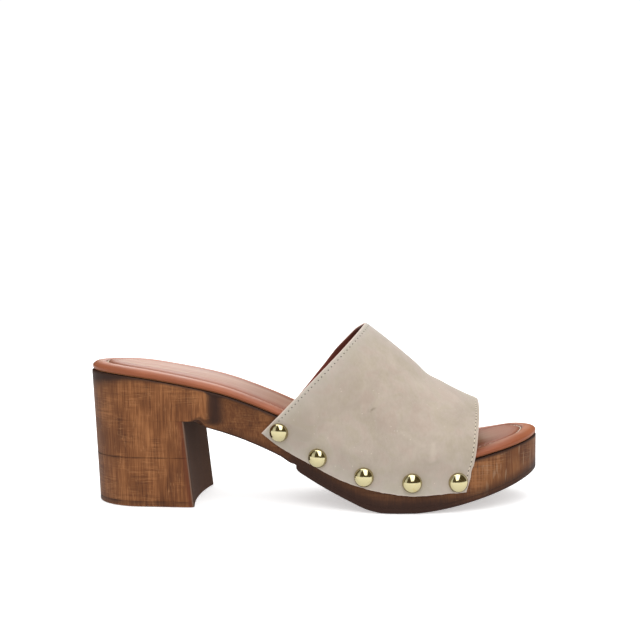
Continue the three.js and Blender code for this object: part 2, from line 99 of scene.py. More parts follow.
BAND = SimpleNamespace(wall_share=0.2, knee_share=0.2, width_power=2.25, height_power=2.0)
STUD = SimpleNamespace(shank_radius=0.9 * MM, shank_length=8 * MM, flange=0.1 * MM, lip=0.3 * MM)
HEEL_ROUND, TOE_ROUND = 0.13, 0.26
HEEL_POWER, TOE_POWER = 1.98, 1.9
FULL_SPINE = (0.11, 0.845)


def tint(red, green, blue):
    """A colour given as screen values from 0 to 255, as the linear light that shaders take."""
    share = np.array([red, green, blue]) / 255
    linear = np.where(share <= 0.04045, share / 12.92, ((share + 0.055) / 1.055) ** 2.4)
    return tuple(float(part) for part in linear)


def length(name, description, default):
    return bpy.props.FloatProperty(name=name, description=description, default=default, unit="LENGTH",
                                   precision=5)


def colour(name, description, *screen):
    return bpy.props.FloatVectorProperty(name=name, description=description, default=tint(*screen),
                                         subtype="COLOR", size=3, min=0.0, max=1.0)


class MuleSizes(bpy.types.PropertyGroup):
    """Main sizes of the mule"""

    length: length("Length", "Heel to toe", PLATFORM_HIGH.x - PLATFORM_LOW.x)
    ball_width: length("Ball width", "Widest place of the platform", 82 * MM)
    seat_height: length("Seat height", "Top of the wood at the heel", 72.2 * MM)
    ball_height: length("Ball height", "Top of the wood under the ball", 23.9 * MM)
    toe_spring: length("Toe spring", "Rise of the wood's top at the toe", 11.5 * MM)
    insole_thickness: length("Insole thickness", "Over the rolled rim", 4.1 * MM)
    seat_padding: length("Seat padding", "Extra thickness of the insole at the heel", 1.4 * MM)
    toe_padding: length("Toe padding", "Extra thickness of the insole at the toe", 1 * MM)
    rim_width: length("Rim width", "Outer edge of the insole to its groove", 8.6 * MM)
    pad_dish: length("Dish", "Hollow of the insole's pad at the heel", 0.9 * MM)
    wall: length("Upper wall", "Suede and lining together", 2 * MM)
    crown_height: length("Crown height", "Top of the band at the collar", BAND_HIGH.z)
    edge_drop: length("Edge drop", "Depth of the band's lower edge on the wood", 16.5 * MM)
    stud_radius: length("Stud radius", "Radius of a stud's head", 5.1 * MM)
    stud_height: length("Stud height", "Height of a stud's head", 3.7 * MM)
    stitch_inset: length("Seam inset", "Seam to the cut edge", 1.95 * MM)
    stitch_pitch: length("Stitch pitch", "From hole to hole on the band", 2.45 * MM)
    groove_pitch: length("Groove stitch pitch", "From stitch to stitch on the insole", 3.2 * MM)
    tread_pitch: length("Tread pitch", "From rib to rib", 4.2 * MM)
    tread_depth: length("Tread depth", "Depth of the grooves", 0.45 * MM)


class MuleColours(bpy.types.PropertyGroup):
    """Main colours of the mule"""

    suede: colour("Suede", "Nap brushed toward the light", 194, 180, 166)
    suede_shade: colour("Suede shade", "Nap brushed away from the light", 170, 156, 142)
    suede_grey: colour("Suede grey", "Worn strips along the collar and the lower edge", 190, 184, 175)
    suede_edge: colour("Suede edge", "Raw cut edge", 226, 208, 194)
    lining: colour("Lining", "Leather inside the band", 138, 62, 50)
    tan: colour("Tan", "Rolled rim of the insole", 163, 96, 65)
    # Tan pad is the pale tone that the painted sheen brings to the pad's middle.
    tan_pad_sheen: colour("Tan pad", "Middle of the insole", 172, 134, 111)
    wood_light: colour("Wood light", "Light grain", 164, 109, 67)
    wood_mid: colour("Wood mid", "Stained grain", 119, 73, 42)
    wood_dark: colour("Wood dark", "Dark grain", 82, 47, 27)
    # Wood burn colours both the burnished edges and the painted shade on the wood.
    wood_burn_and_shade: colour("Wood burn", "Burnished edges", 52, 32, 24)
    breast: colour("Breast", "Front face of the heel", 74, 55, 46)
    rubber: colour("Rubber", "Tread and heel top piece", 78, 54, 42)
    brass: colour("Brass", "Polished studs", 186, 177, 138)
    thread: colour("Thread", "Seams", 236, 224, 202)


# Section tables, with shares as their lengths

def slopes(at, value):
    """Slopes through the rows that never overshoot them."""
    step = np.diff(at)
    rate = np.diff(value) / step
    slope = np.zeros(len(value))
    slope[0], slope[-1] = rate[0], rate[-1]
    for i in range(1, len(value) - 1):
        before, after = rate[i - 1], rate[i]
        if before * after > 0:
            a, b = 2 * step[i] + step[i - 1], step[i] + 2 * step[i - 1]
            slope[i] = (a + b) / (a / before + b / after)
    return slope


class Table:
    """Rows joined by smooth curves, one for each named column after the first."""

    def __init__(self, columns, *rows):
        names = columns.split()
        values = np.array(rows, float)
        self.at = values[:, 0]
        self.curves = {}
        for i, name in enumerate(names[1:], 1):
            self.curves[name] = (values[:, i], slopes(self.at, values[:, i]))

    def __call__(self, column, share):
        value, slope = self.curves[column]
        place = np.clip(share, self.at[0], self.at[-1])
        i = np.clip(np.searchsorted(self.at, place) - 1, 0, len(self.at) - 2)
        step = self.at[i + 1] - self.at[i]
        u = (place - self.at[i]) / step
        rise = value[i + 1] - value[i]
        bend = (slope[i] * step - rise) * (1 - u) - (slope[i + 1] * step - rise) * u
        return value[i] + rise * u + u * (1 - u) * bend


OUTLINE = Table(
    "at half middle",
    (0.0, 0.328, 0.0), (0.14, 0.343, 0.002), (0.25, 0.358, 0.001), (0.35, 0.345, -0.016),
    (0.45, 0.351, -0.033), (0.55, 0.407, -0.03), (0.63, 0.467, -0.013), (0.7, 0.499, 0.008),
    (0.78, 0.5, 0.026), (0.88, 0.5, 0.043), (1.0, 0.5, 0.058))
BED_LINE = Table(
    "at pitch spring",
    (0.0, 1.0, 0), (0.1, 0.953, 0), (0.2, 0.873, 0), (0.3, 0.764, 0), (0.4, 0.59, 0), (0.5, 0.362, 0),
    (0.6, 0.133, 0), (0.66, 0.045, 0), (0.73, 0, 0), (0.8, 0, 0.09), (0.9, 0, 0.5), (1.0, 0, 1.0))
UNDERSIDE = Table(
    "at edge keel recess",
    (0.0, 1, 1, 0), (0.234, 1, 1, 0), (0.262, 1, 0.85, 0.06), (0.274, 0.84, 0.79, 0.45),
    (0.288, 0.77, 0.72, 0.86), (0.305, 0.71, 0.66, 1), (0.348, 0.555, 0.51, 1), (0.392, 0.37, 0.325, 0.95),
    (0.435, 0.165, 0.135, 0.8), (0.466, 0, 0, 0.64), (0.55, 0, 0, 0.3), (0.62, 0, 0, 0.08),
    (0.7, 0, 0, 0), (1.0, 0, 0, 0))
GROUND = Table(
    "at rear front",
    (0.466, 1.0, 0), (0.523, 0.625, 0), (0.587, 0.26, 0), (0.629, 0.06, 0), (0.66, 0, 0), (0.72, 0, 0),
    (0.745, 0, 0.03), (0.79, 0, 0.13), (0.861, 0, 0.36), (0.929, 0, 0.64), (0.979, 0, 0.89), (1.0, 0, 1.0))
SIDE = Table("depth recess", (0.0, 0.0), (0.16, 0.38), (0.55, 0.72), (1.0, 1.0))
CROWN = Table(
    "at height drop",
    (0.36, 1.4, 0.7), (0.4, 1.345, 0.8), (0.43, 1.3, 0.95), (0.47, 1.238, 1.02), (0.54, 1.125, 1.03),
    (0.618, 1.0, 0.94), (0.669, 0.897, 0.89), (0.725, 0.776, 0.865), (0.757, 0.707, 0.855),
    (0.79, 0.656, 0.855), (0.832, 0.601, 0.92), (0.865, 0.56, 0.96), (0.92, 0.5, 1.0))
COLLAR_SHIFT = Table("at shift", (0, 1), (0.3, 0.49), (0.555, 0), (0.75, -0.4), (0.92, -0.4), (1, 0))
# The insole's section, from its lower edge over the rolled rim and the groove to the pad, along
# the sides and at both ends
RIM_SECTION = (
    (0.2, 0.0), (0.1, 0.2), (0.08, 0.46), (0.17, 0.76), (0.36, 0.95), (0.58, 1.0), (0.78, 0.97),
    (0.92, 0.86), (1.0, 0.7), (1.08, 0.84), (1.25, 0.97), (1.6, 1.0))
END_SECTION = (
    (0.14, 0.0), (0.03, 0.16), (0.02, 0.36), (0.13, 0.62), (0.36, 0.83), (0.62, 0.95), (0.8, 0.97),
    (0.92, 0.86), (1.0, 0.7), (1.08, 0.84), (1.25, 0.97), (1.6, 1.0))
NOTCH = SimpleNamespace(around=-0.885, width=0.01, depth=1.1 * MM)
STUD_ROWS = ((0.0852, 0.465), (0.2775, 0.67), (0.5045, 0.575), (0.7361, 0.445), (0.9585, 0.54))

# Creases of the suede: both ends as places along (collar 0, toe edge 1) and around the band
# (lateral edge -1, crown 0, medial edge 1), the height of the ridge or trough, and its width.
CREASES = (
    ((0.02, -0.07), (0.95, -0.04), 0.95 * MM, 13 * MM),
    ((0.02, -0.46), (0.55, -0.40), -0.45 * MM, 10 * MM),
    ((0.743, -0.663), (0.77, -0.77), 0.22 * MM, 1.5 * MM),
    ((0.563, -0.64), (0.698, -0.686), 0.16 * MM, 1.3 * MM),
    ((0.62, -0.76), (0.66, -0.54), -0.22 * MM, 4 * MM),
    ((0.20, -0.80), (0.35, -0.62), -0.30 * MM, 8 * MM),
    ((0.80, -0.75), (0.88, -0.40), 0.30 * MM, 6 * MM),
    ((0.5, -0.24), (0.55, 0.2), -0.7 * MM, 5 * MM),
    ((0.70, -0.30), (0.78, 0.25), -0.35 * MM, 9 * MM),
    ((0.30, 0.38), (0.70, 0.48), -0.40 * MM, 9 * MM),
    ((0.05, 0.60), (0.40, 0.70), 0.35 * MM, 8 * MM),
    ((0.60, 0.72), (0.75, 0.50), -0.30 * MM, 6 * MM),
)
# Marks on the suede, darker or paler, among them painted highlights along two crease ridges: both ends as for a
# crease, the width, and how much darker
MARKS_AND_HIGHLIGHTS = (
    ((0.095, -0.795), (0.135, -0.835), 5.5 * MM, 0.34),
    ((0.055, -0.78), (0.075, -0.80), 2.2 * MM, 0.22),
    # Painted highlights: paler lines along the crease ridges that share these ends.
    ((0.743, -0.663), (0.770, -0.770), 1.1 * MM, -0.32),
    ((0.563, -0.640), (0.698, -0.686), 1.1 * MM, -0.22),
    ((0.40, -0.60), (0.46, -0.56), 12 * MM, 0.14),
    ((0.62, -0.42), (0.66, -0.36), 15 * MM, -0.16),
    ((0.85, -0.62), (0.87, -0.56), 10 * MM, -0.14),
    ((0.35, -0.88), (0.75, -0.90), 7 * MM, 0.12),
    ((0.30, -0.30), (0.36, -0.24), 14 * MM, -0.08),
    ((0.50, 0.55), (0.58, 0.50), 14 * MM, 0.14),
    ((0.20, 0.70), (0.26, 0.66), 11 * MM, -0.12),
)


def ramp(value, start, end):
    """0 before start, 1 past end, and smooth between."""
    u = np.clip((value - start) / (end - start), 0, 1)
    return u * u * (3 - 2 * u)


def bell(value, centre, width):
    return np.exp(-(((value - centre) / width) ** 2))


def end_round(u, power):
    inside = np.clip(u, 0, 1)
    return (1 - (1 - inside) ** power) ** (1 / power)


def wavering(place, seed):
    """Uneven wave of about -1 to 1 along a line, the same on every run."""
    waves = np.random.default_rng(seed).uniform((0.6, 0.0), (2.4, 6.28), (7, 2))
    return sum(np.sin(place * rate + phase) / (1 + i) for i, (rate, phase) in enumerate(waves)) / 1.8


class Form:
    """The last and what is built on it, measured from the end of the heel."""

    def __init__(self, size):
        self.size = size
        everywhere = np.linspace(0, 1, 2001)
        lateral_edge = self.outline_y(everywhere, LATERAL).min()
        self.origin = np.array([PLATFORM_LOW.x, PLATFORM_LOW.y - lateral_edge, 0.0])

    def half_width(self, share):
        ends = (end_round(share / HEEL_ROUND, HEEL_POWER)
                * end_round((1 - share) / TOE_ROUND, TOE_POWER))
        return self.size.ball_width * OUTLINE("half", share) * ends

    def middle(self, share):
        return self.size.ball_width * OUTLINE("middle", share)

    def outline_y(self, share, side):
        return self.middle(share) + side * self.half_width(share)

    def across_outline(self, share, side, distance):
        step = 1e-4
        rise = self.outline_y(share + step, side) - self.outline_y(share - step, side)
        return distance * np.hypot(1, rise / (2 * step * self.size.length))

    def bed_height(self, share):
        size = self.size
        pitch = BED_LINE("pitch", share) * (size.seat_height - size.ball_height)
        return size.ball_height + pitch + BED_LINE("spring", share) * size.toe_spring

    def ground_line(self, share):
        return OUTSOLE.rear_rise * GROUND("rear", share) + OUTSOLE.toe_rise * GROUND("front", share)

    def outsole_top(self, share):
        return self.ground_line(share) + OUTSOLE.thickness

    def wood_underside(self, share, column="edge"):
        joint = self.outsole_top(OUTSOLE.start) + CLEARANCE
        waist = joint + UNDERSIDE(column, share) * (LEDGE - joint)
        return np.where(share >= OUTSOLE.start, self.outsole_top(share) + CLEARANCE, waist)

    def heel_taper(self, share, depth):
        rear = 1 - end_round(share / HEEL_ROUND, HEEL_POWER)
        slant = HEEL.side_taper + (HEEL.rear_taper - HEEL.side_taper) * rear
        return slant * depth / self.size.seat_height

    def side_inset(self, share, depth_share):
        depth = depth_share * (self.bed_height(share) - self.wood_underside(share))
        recess = WAIST.recess * UNDERSIDE("recess", share) * SIDE("recess", depth_share)
        return self.heel_taper(share, depth) + recess

    def outline_point(self, share, side, inset, spine=FULL_SPINE):
        """Points of the outline moved inwards, toward the spine of the sole."""
        edge = np.stack([share * self.size.length, self.outline_y(share, side)], -1)
        inner = np.clip(share, *spine)
        inward = np.stack([inner * self.size.length, self.middle(inner)], -1) - edge
        reach = np.linalg.norm(inward, axis=-1)
        return edge + inward * (inset / reach)[:, None]

    def band_point(self, share, around):
        """Outer face of the band, over the crown and down each wall."""
        size = self.size
        share, around = np.broadcast_arrays(share, around)
        side = np.where(around < 0, LATERAL, MEDIAL)
        away = np.abs(around)
        foot = 1 - BAND.wall_share
        skin = self.across_outline(share, side, CLEARANCE + size.wall)
        rim = self.bed_height(share)
        base = rim + UPPER.lift
        outside = self.outline_y(share, side)

        down = np.clip((away - foot) / BAND.wall_share, 0, 1)
        drop = size.edge_drop * CROWN("drop", share)
        below = np.maximum(0, (down - BAND.knee_share) / (1 - BAND.knee_share))
        above = np.maximum(0, 1 - down / BAND.knee_share)
        knee = rim - BED.edge_radius
        wall_height = knee + above * (base - knee) - below * (knee - rim + drop)
        depth_share = np.minimum(1, drop / (rim - self.wood_underside(share)))
        wall_y = outside + side * (skin - self.side_inset(share, depth_share) * below)

        angle = (1 - np.minimum(away / foot, 1)) * math.pi / 2
        across = np.cos(angle) ** (2 / BAND.width_power)
        up = np.sin(angle) ** (2 / BAND.height_power)
        middle = self.middle(share)
        arch_y = middle + UPPER.ridge_shift * up + (outside + side * skin - middle) * across
        arch_height = base + (size.crown_height * CROWN("height", share) - base) * up
        wall = away >= foot
        return np.stack([share * size.length, np.where(wall, wall_y, arch_y),
                         np.where(wall, wall_height, arch_height)], -1)

    def collar_share(self, around):
        rise = COLLAR.top_height - COLLAR.bottom_height
        slope = rise / (self.size.length * (COLLAR.top - COLLAR.bottom))
        medial = np.where(around > 0, COLLAR.medial_shift, 0)

        def behind(share):
            point = self.band_point(share, around)
            up = point[..., 2] - COLLAR.bottom_height
            start = self.size.length * COLLAR.bottom + medial * COLLAR_SHIFT("shift", up / rise)
            return up > slope * (point[..., 0] - start)

        return halve(COLLAR.bottom - 0.04, TOE_OPENING.top, behind, around)

    def toe_share(self, around):
        reach = TOE_OPENING.top - TOE_OPENING.bottom

        def behind(share):
            foot = self.band_point(share, 1.0)[..., 2]
            crown = self.band_point(share, 0.0)[..., 2]
            height = self.band_point(share, around)[..., 2]
            down = np.clip(1 - (height - foot) / (crown - foot), 0, 1)
            return share <= TOE_OPENING.top - reach * down ** TOE_OPENING.sweep_power

        turned = bell(around, 0.0, 0.42) - 0.35 * bell(np.abs(around), 0.55, 0.22)
        return halve(TOE_OPENING.bottom - 0.02, TOE_OPENING.top + 0.05, behind, around) + 0.006 * turned

    def band_normal(self, share, around):
        step, turn = 1e-4, 1e-3
        edge = np.clip(around, turn - 1, 1 - turn)
        along = self.band_point(share + step, edge) - self.band_point(share - step, edge)
        across = self.band_point(share, edge + turn) - self.band_point(share, edge - turn)
        return unit(np.cross(along, across))

    def stud_place(self, row, side):
        """Point and outward direction of a stud on the band's outer face."""
        along, drop_share = STUD_ROWS[row]
        share = COLLAR.bottom + (TOE_OPENING.bottom - COLLAR.bottom) * along
        drop = self.size.edge_drop * CROWN("drop", share)
        below = (drop_share * self.size.edge_drop - BED.edge_radius) / (drop - BED.edge_radius)
        down = BAND.knee_share + (1 - BAND.knee_share) * below
        around = side * (1 - BAND.wall_share + BAND.wall_share * down)
        return self.band_point(share, around), self.band_normal(share, around)


def halve(low, high, keeps_low, like):
    """Where a test stops holding between two shares, for a whole row of places at once."""
    low, high = np.full(like.shape, low), np.full(like.shape, high)
    for _ in range(40):
        centre = (low + high) / 2
        keeps = keeps_low(centre)
        low, high = np.where(keeps, centre, low), np.where(keeps, high, centre)
    return (low + high) / 2


def unit(vectors):
    return vectors / np.linalg.norm(vectors, axis=-1, keepdims=True)


def stations(start=0.0, step=0.006):
    """Shares along a piece, closer together at its round ends."""
    turn = np.linspace(0, math.pi / 2, 30)
    heel = HEEL_ROUND * (1 - np.cos(turn))
    toe = 1 - TOE_ROUND * (1 - np.cos(turn))
    straight = np.arange(HEEL_ROUND + step, 1 - TOE_ROUND - step / 2, step)
    every = np.concatenate([heel, straight, toe])
    return np.sort(np.append(every[every > start + step / 3], start))


def ring_places(along):
    """Shares and sides of a ring: heel to toe on the lateral side and back on the medial side."""
    first = 1 if along[0] == 0 else 0
    back = along[first:-1][::-1]
    side = np.append(np.full(len(along), LATERAL), np.full(len(back), MEDIAL))
    return np.append(along, back), side


# Meshes

class Shell:
    """Points, faces and surface values of one piece, gathered part by part."""

    def __init__(self, *values):
        self.points = []
        self.faces = []
        self.slots = []
        self.values = {name: [] for name in values}
        self.count = 0

    def add(self, points, **values):
        """Adds an array of points and gives the array of their numbers."""
        shape = points.shape[:-1]
        self.points.append(points.reshape(-1, 3))
        for name, stored in self.values.items():
            stored.append(np.broadcast_to(values.get(name, 0.0), shape).ravel())
        index = self.count + np.arange(math.prod(shape)).reshape(shape)
        self.count += index.size
        return index

    def at(self, index):
        """The points that a row of numbers stands for."""
        return np.concatenate(self.points)[index]

    def skin(self, grid, slot=0):
        """Faces between the rows of a grid of point numbers."""
        corners = [grid[:-1, :-1], grid[:-1, 1:], grid[1:, 1:], grid[1:, :-1]]
        for face in np.stack(corners, -1).reshape(-1, 4).tolist():
            face = list(dict.fromkeys(face))
            if len(face) > 2:
                self.faces.append(face)
                self.slots.append(slot)

    def loft(self, rings, slot=0):
        """Faces between closed rings of point numbers."""
        grid = np.array(rings)
        self.skin(np.concatenate([grid, grid[:, :1]], axis=1), slot)

    def cap(self, ring, points, count, columns, lift=None, **values):
        """Closes a sole's ring with a grid from its lateral to its medial side."""
        whole = len(ring)
        facing = (whole - np.arange(count)) % whole if whole == 2 * (count - 1) else whole - 1 - np.arange(count)
        near, far = points[:count], points[facing]
        blend = np.linspace(0, 1, columns + 1)[1:-1]
        inner = near[:, None] + (far - near)[:, None] * blend[:, None]
        if lift:
            inner[..., 2] += lift(inner, blend)
        index = self.add(inner, **values)
        tips = ring[:count] == ring[facing]
        index[tips] = ring[:count][tips][:, None]
        self.skin(np.column_stack([ring[:count], index, ring[facing]]))

    def close(self, ring):
        """Closes a flat ring with one face."""
        self.faces.append(ring.tolist())
        self.slots.append(0)

    def build(self, name, materials, origin, smooth_angle=40):
        mesh = bpy.data.meshes.new(name)
        mesh.from_pydata((np.concatenate(self.points) + origin).tolist(), [], self.faces)
        for value, stored in self.values.items():
            layer = mesh.attributes.new(value, "FLOAT", "POINT")
            layer.data.foreach_set("value", np.concatenate(stored).astype(np.float32))
        for material in materials:
            mesh.materials.append(material)
        mesh.polygons.foreach_set("material_index", self.slots)
        turned = bmesh.new()
        turned.from_mesh(mesh)
        loose = [point for point in turned.verts if not point.link_faces]
        bmesh.ops.delete(turned, geom=loose, context="VERTS")
        bmesh.ops.recalc_face_normals(turned, faces=turned.faces)
        turned.to_mesh(mesh)
        turned.free()
        mesh.shade_smooth()
        mesh.set_sharp_from_angle(angle=math.radians(smooth_angle))
        piece = bpy.data.objects.new(name, mesh)
        bpy.context.scene.collection.objects.link(piece)
        return piece


def settle(piece, slot, *nodes):
    """Puts a finished piece on the shoe, in place of its solids."""
    if nodes:
        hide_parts(*nodes)
    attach(piece, "root")
    return piece


# Materials

class Value:
    """A number that varies over a surface, as a socket that takes part in sums."""

    def __init__(self, nodes, socket):
        self.nodes = nodes
        self.socket = socket

    def math(self, operation, *terms):
        return self.nodes.node("ShaderNodeMath", {"operation": operation}, dict(enumerate(terms)))

    def __add__(self, other):
        return self.math("ADD", self, other)

    def __sub__(self, other):
        return self.math("SUBTRACT", self, other)

    def __rsub__(self, other):
        return self.math("SUBTRACT", other, self)

    def __mul__(self, other):
        return self.math("MULTIPLY", self, other)

    def __pow__(self, other):
        return self.math("POWER", self, other)

    __radd__ = __add__
    __rmul__ = __mul__

    def size(self):
        """The number without its sign."""
        return self.math("ABSOLUTE", self)

    def ramp(self, start, end):
        """0 before start, 1 past end, and smooth between."""
        return self.nodes.node("ShaderNodeMapRange", {"interpolation_type": "SMOOTHSTEP"},
                               {"Value": self, "From Min": start, "From Max": end})


class Nodes:
    """Adds nodes to a tree, with their settings first and then their sockets."""

    def __init__(self, tree):
        self.tree = tree

    def node(self, kind, settings=None, inputs=None, output=0):
        made = self.tree.nodes.new(kind)
        for name, value in (settings or {}).items():
            setattr(made, name, value)
        for name, value in (inputs or {}).items():
            self.put(made.inputs[name], value)
        return Value(self, made.outputs[output]) if made.outputs else made

    def put(self, socket, value):
        if isinstance(value, Value):
            self.tree.links.new(value.socket, socket)
        elif socket.type == "RGBA":
            socket.default_value = (*value[:3], 1.0)
        else:
            socket.default_value = value


class Finish(Nodes):
    """The node tree of one material."""

    def __init__(self, name):
        self.material = bpy.data.materials.new(name)
        self.material.use_nodes = True
        super().__init__(self.material.node_tree)
        self.tree.nodes.clear()
        self.place = self.node("ShaderNodeTexCoord", output="Object")

    def stretched(self, x, y, z):
        return self.node("ShaderNodeVectorMath", {"operation": "MULTIPLY"}, {0: self.place, 1: (x, y, z)})

    def along(self, start, end):
        """0 behind one place along the shoe and 1 ahead of the other."""
        apart = self.node("ShaderNodeSeparateXYZ", None, {"Vector": self.place}, output="X")
        return apart.ramp(start, end)

    def noise(self, scale, detail=2.0, place=None, roughness=0.5, distortion=0.0):
        inputs = {"Vector": place or self.place, "Scale": scale, "Detail": detail, "Roughness": roughness,
                  "Distortion": distortion}
        return self.node("ShaderNodeTexNoise", None, inputs)

    def cells(self, scale, place=None, feature="F1"):
        return self.node("ShaderNodeTexVoronoi", {"feature": feature},
                         {"Vector": place or self.place, "Scale": scale})

    def attribute(self, name):
        return self.node("ShaderNodeAttribute", {"attribute_name": name}, output="Fac")

    def mix(self, factor, first, second):
        return self.node("ShaderNodeMix", {"data_type": "RGBA"}, {0: factor, 6: first, 7: second}, output=2)

    def multiply(self, factor, first, second):
        return self.node("ShaderNodeMix", {"data_type": "RGBA", "blend_type": "MULTIPLY"},
                         {0: factor, 6: first, 7: second}, output=2)

    def done(self, base, roughness, height=None, depth=0.1 * MM, **fixed):
        """Ends the tree in one surface, with its relief and its fixed values."""
        inputs = {"Base Color": base, "Roughness": roughness}
        if height:
            inputs["Normal"] = self.node("ShaderNodeBump", None, {"Height": height, "Distance": depth})
        inputs.update({name.replace("_", " "): value for name, value in fixed.items()})
        surface = self.node("ShaderNodeBsdfPrincipled", None, inputs)
        self.node("ShaderNodeOutputMaterial", None, {"Surface": surface})
        return self.material


def suede_finish(colours):
    suede = Finish("suede")
    clouds = suede.noise(55, 3, distortion=0.6)
    hue = suede.noise(95, 3, distortion=1.0)
    patches = suede.noise(210, 3)
    nap = suede.noise(900, 3, suede.stretched(1.0, 1.0, 0.45))
    fibre = suede.noise(3400, 2)
    # Real marks, and painted highlights along two crease ridges.
    mark = suede.attribute("mark")
    tone = 0.42 + 0.9 * (clouds - 0.5) + 0.35 * (patches - 0.5) + 0.35 * (nap - 0.5) - mark
    base = suede.mix(tone.ramp(0.0, 1.0), tuple(colours.suede_shade), tuple(colours.suede))
    base = suede.mix(suede.attribute("grey") * 0.75, base, tuple(colours.suede_grey))
    base = suede.multiply(hue.ramp(0.42, 0.66), base, (0.965, 0.968, 0.925))
    base = suede.multiply(1 - hue.ramp(0.34, 0.52), base, (0.995, 0.96, 0.955))
    speck = (1 - suede.cells(330).ramp(0.04, 0.11)) * suede.noise(140, 1).ramp(0.5, 0.58)
    base = suede.mix(speck * 0.6, base, tint(226, 216, 198))
    fleck = (1 - suede.cells(420, suede.stretched(1.0, 1.0, 0.5)).ramp(0.03, 0.1)) * suede.noise(120, 1).ramp(0.5, 0.6)
    base = suede.mix(fleck * 0.4, base, tint(144, 130, 114))
    scuff = suede.attribute("scuff") * suede.noise(700, 1).ramp(0.35, 0.6)
    base = suede.mix(scuff * 0.7, base, tint(128, 116, 102))
    base = suede.mix(suede.attribute("edge") * 0.85, base, tuple(colours.suede_edge))
    height = 0.55 * fibre + 0.45 * nap
    return suede.done(base, 0.92 + 0.06 * (patches - 0.5), height, 0.16 * MM, Sheen_Weight=0.25,
                      Sheen_Roughness=0.45, Specular_IOR_Level=0.2)


def cut_edge_finish(colours):
    edge = Finish("suede_cut_edge")
    fibre = edge.noise(2600, 3)
    base = edge.mix(fibre.ramp(0.3, 0.7), tint(196, 172, 152), tuple(colours.suede_edge))
    return edge.done(base, 0.95, fibre, 0.2 * MM, Specular_IOR_Level=0.15)


def lining_finish(colours):
    lining = Finish("lining_leather")
    grain = lining.cells(1500)
    shade = lining.noise(70, 3)
    red, green, blue = colours.lining
    base = lining.mix(shade.ramp(0.3, 0.7), (red * 0.7, green * 0.7, blue * 0.7), (red, green, blue))
    # Painted shade: the lining darkens toward its top, deep under the band.
    base = lining.mix(0.7 * lining.attribute("height").ramp(0.6, 0.98), base, tint(58, 38, 26))
    return lining.done(base, 0.55 + 0.2 * (shade - 0.5), grain, 0.06 * MM, Specular_IOR_Level=0.4)


def insole_finish(colours):
    leather = Finish("tan_leather")
    grain = leather.cells(1500)
    pores = leather.noise(2600, 2)
    drift = leather.noise(38, 3)
    streak = leather.noise(95, 3, leather.stretched(0.1, 2.2, 0.1))
    # Painted sheen: the pad pales toward its middle in long streaks.
    sheen = leather.attribute("sheen") * (0.35 + 1.1 * streak.ramp(0.35, 0.7))
    pad = leather.mix(sheen, tint(152, 98, 76), tuple(colours.tan_pad_sheen))
    # Painted highlight: the rim turns brighter orange toward the toe tip.
    rim = leather.mix(0.5 * leather.attribute("tip"), tuple(colours.tan), tint(180, 104, 56))
    # Painted highlight along the crown of the rolled rim.
    rim = leather.mix(leather.attribute("roll") * (0.2 + 0.6 * streak.ramp(0.3, 0.7)), rim, tint(178, 128, 104))
    base = leather.mix(leather.attribute("rim").ramp(0.1, 0.8), pad, rim)
    base = leather.multiply(0.6 * (1 - drift.ramp(0.3, 0.75)), base, (0.74, 0.68, 0.64))
    # Painted shade on the lower side of the rolled rim.
    base = leather.multiply(0.3 * leather.attribute("rim") * (1 - leather.attribute("roll")).ramp(0.3, 0.9), base,
                            (0.72, 0.6, 0.54))
    # Painted shade in the stitched groove.
    base = leather.multiply(leather.attribute("groove"), base, (0.42, 0.3, 0.26))
    base = leather.mix(0.55 * leather.attribute("edge"), base, tint(222, 160, 112))
    height = 0.6 * grain + 0.3 * pores + 0.1 * drift
    return leather.done(base, 0.46 + 0.16 * (drift - 0.5), height, 0.05 * MM, Coat_Weight=0.04,
                        Coat_Roughness=0.25, Specular_IOR_Level=0.2)


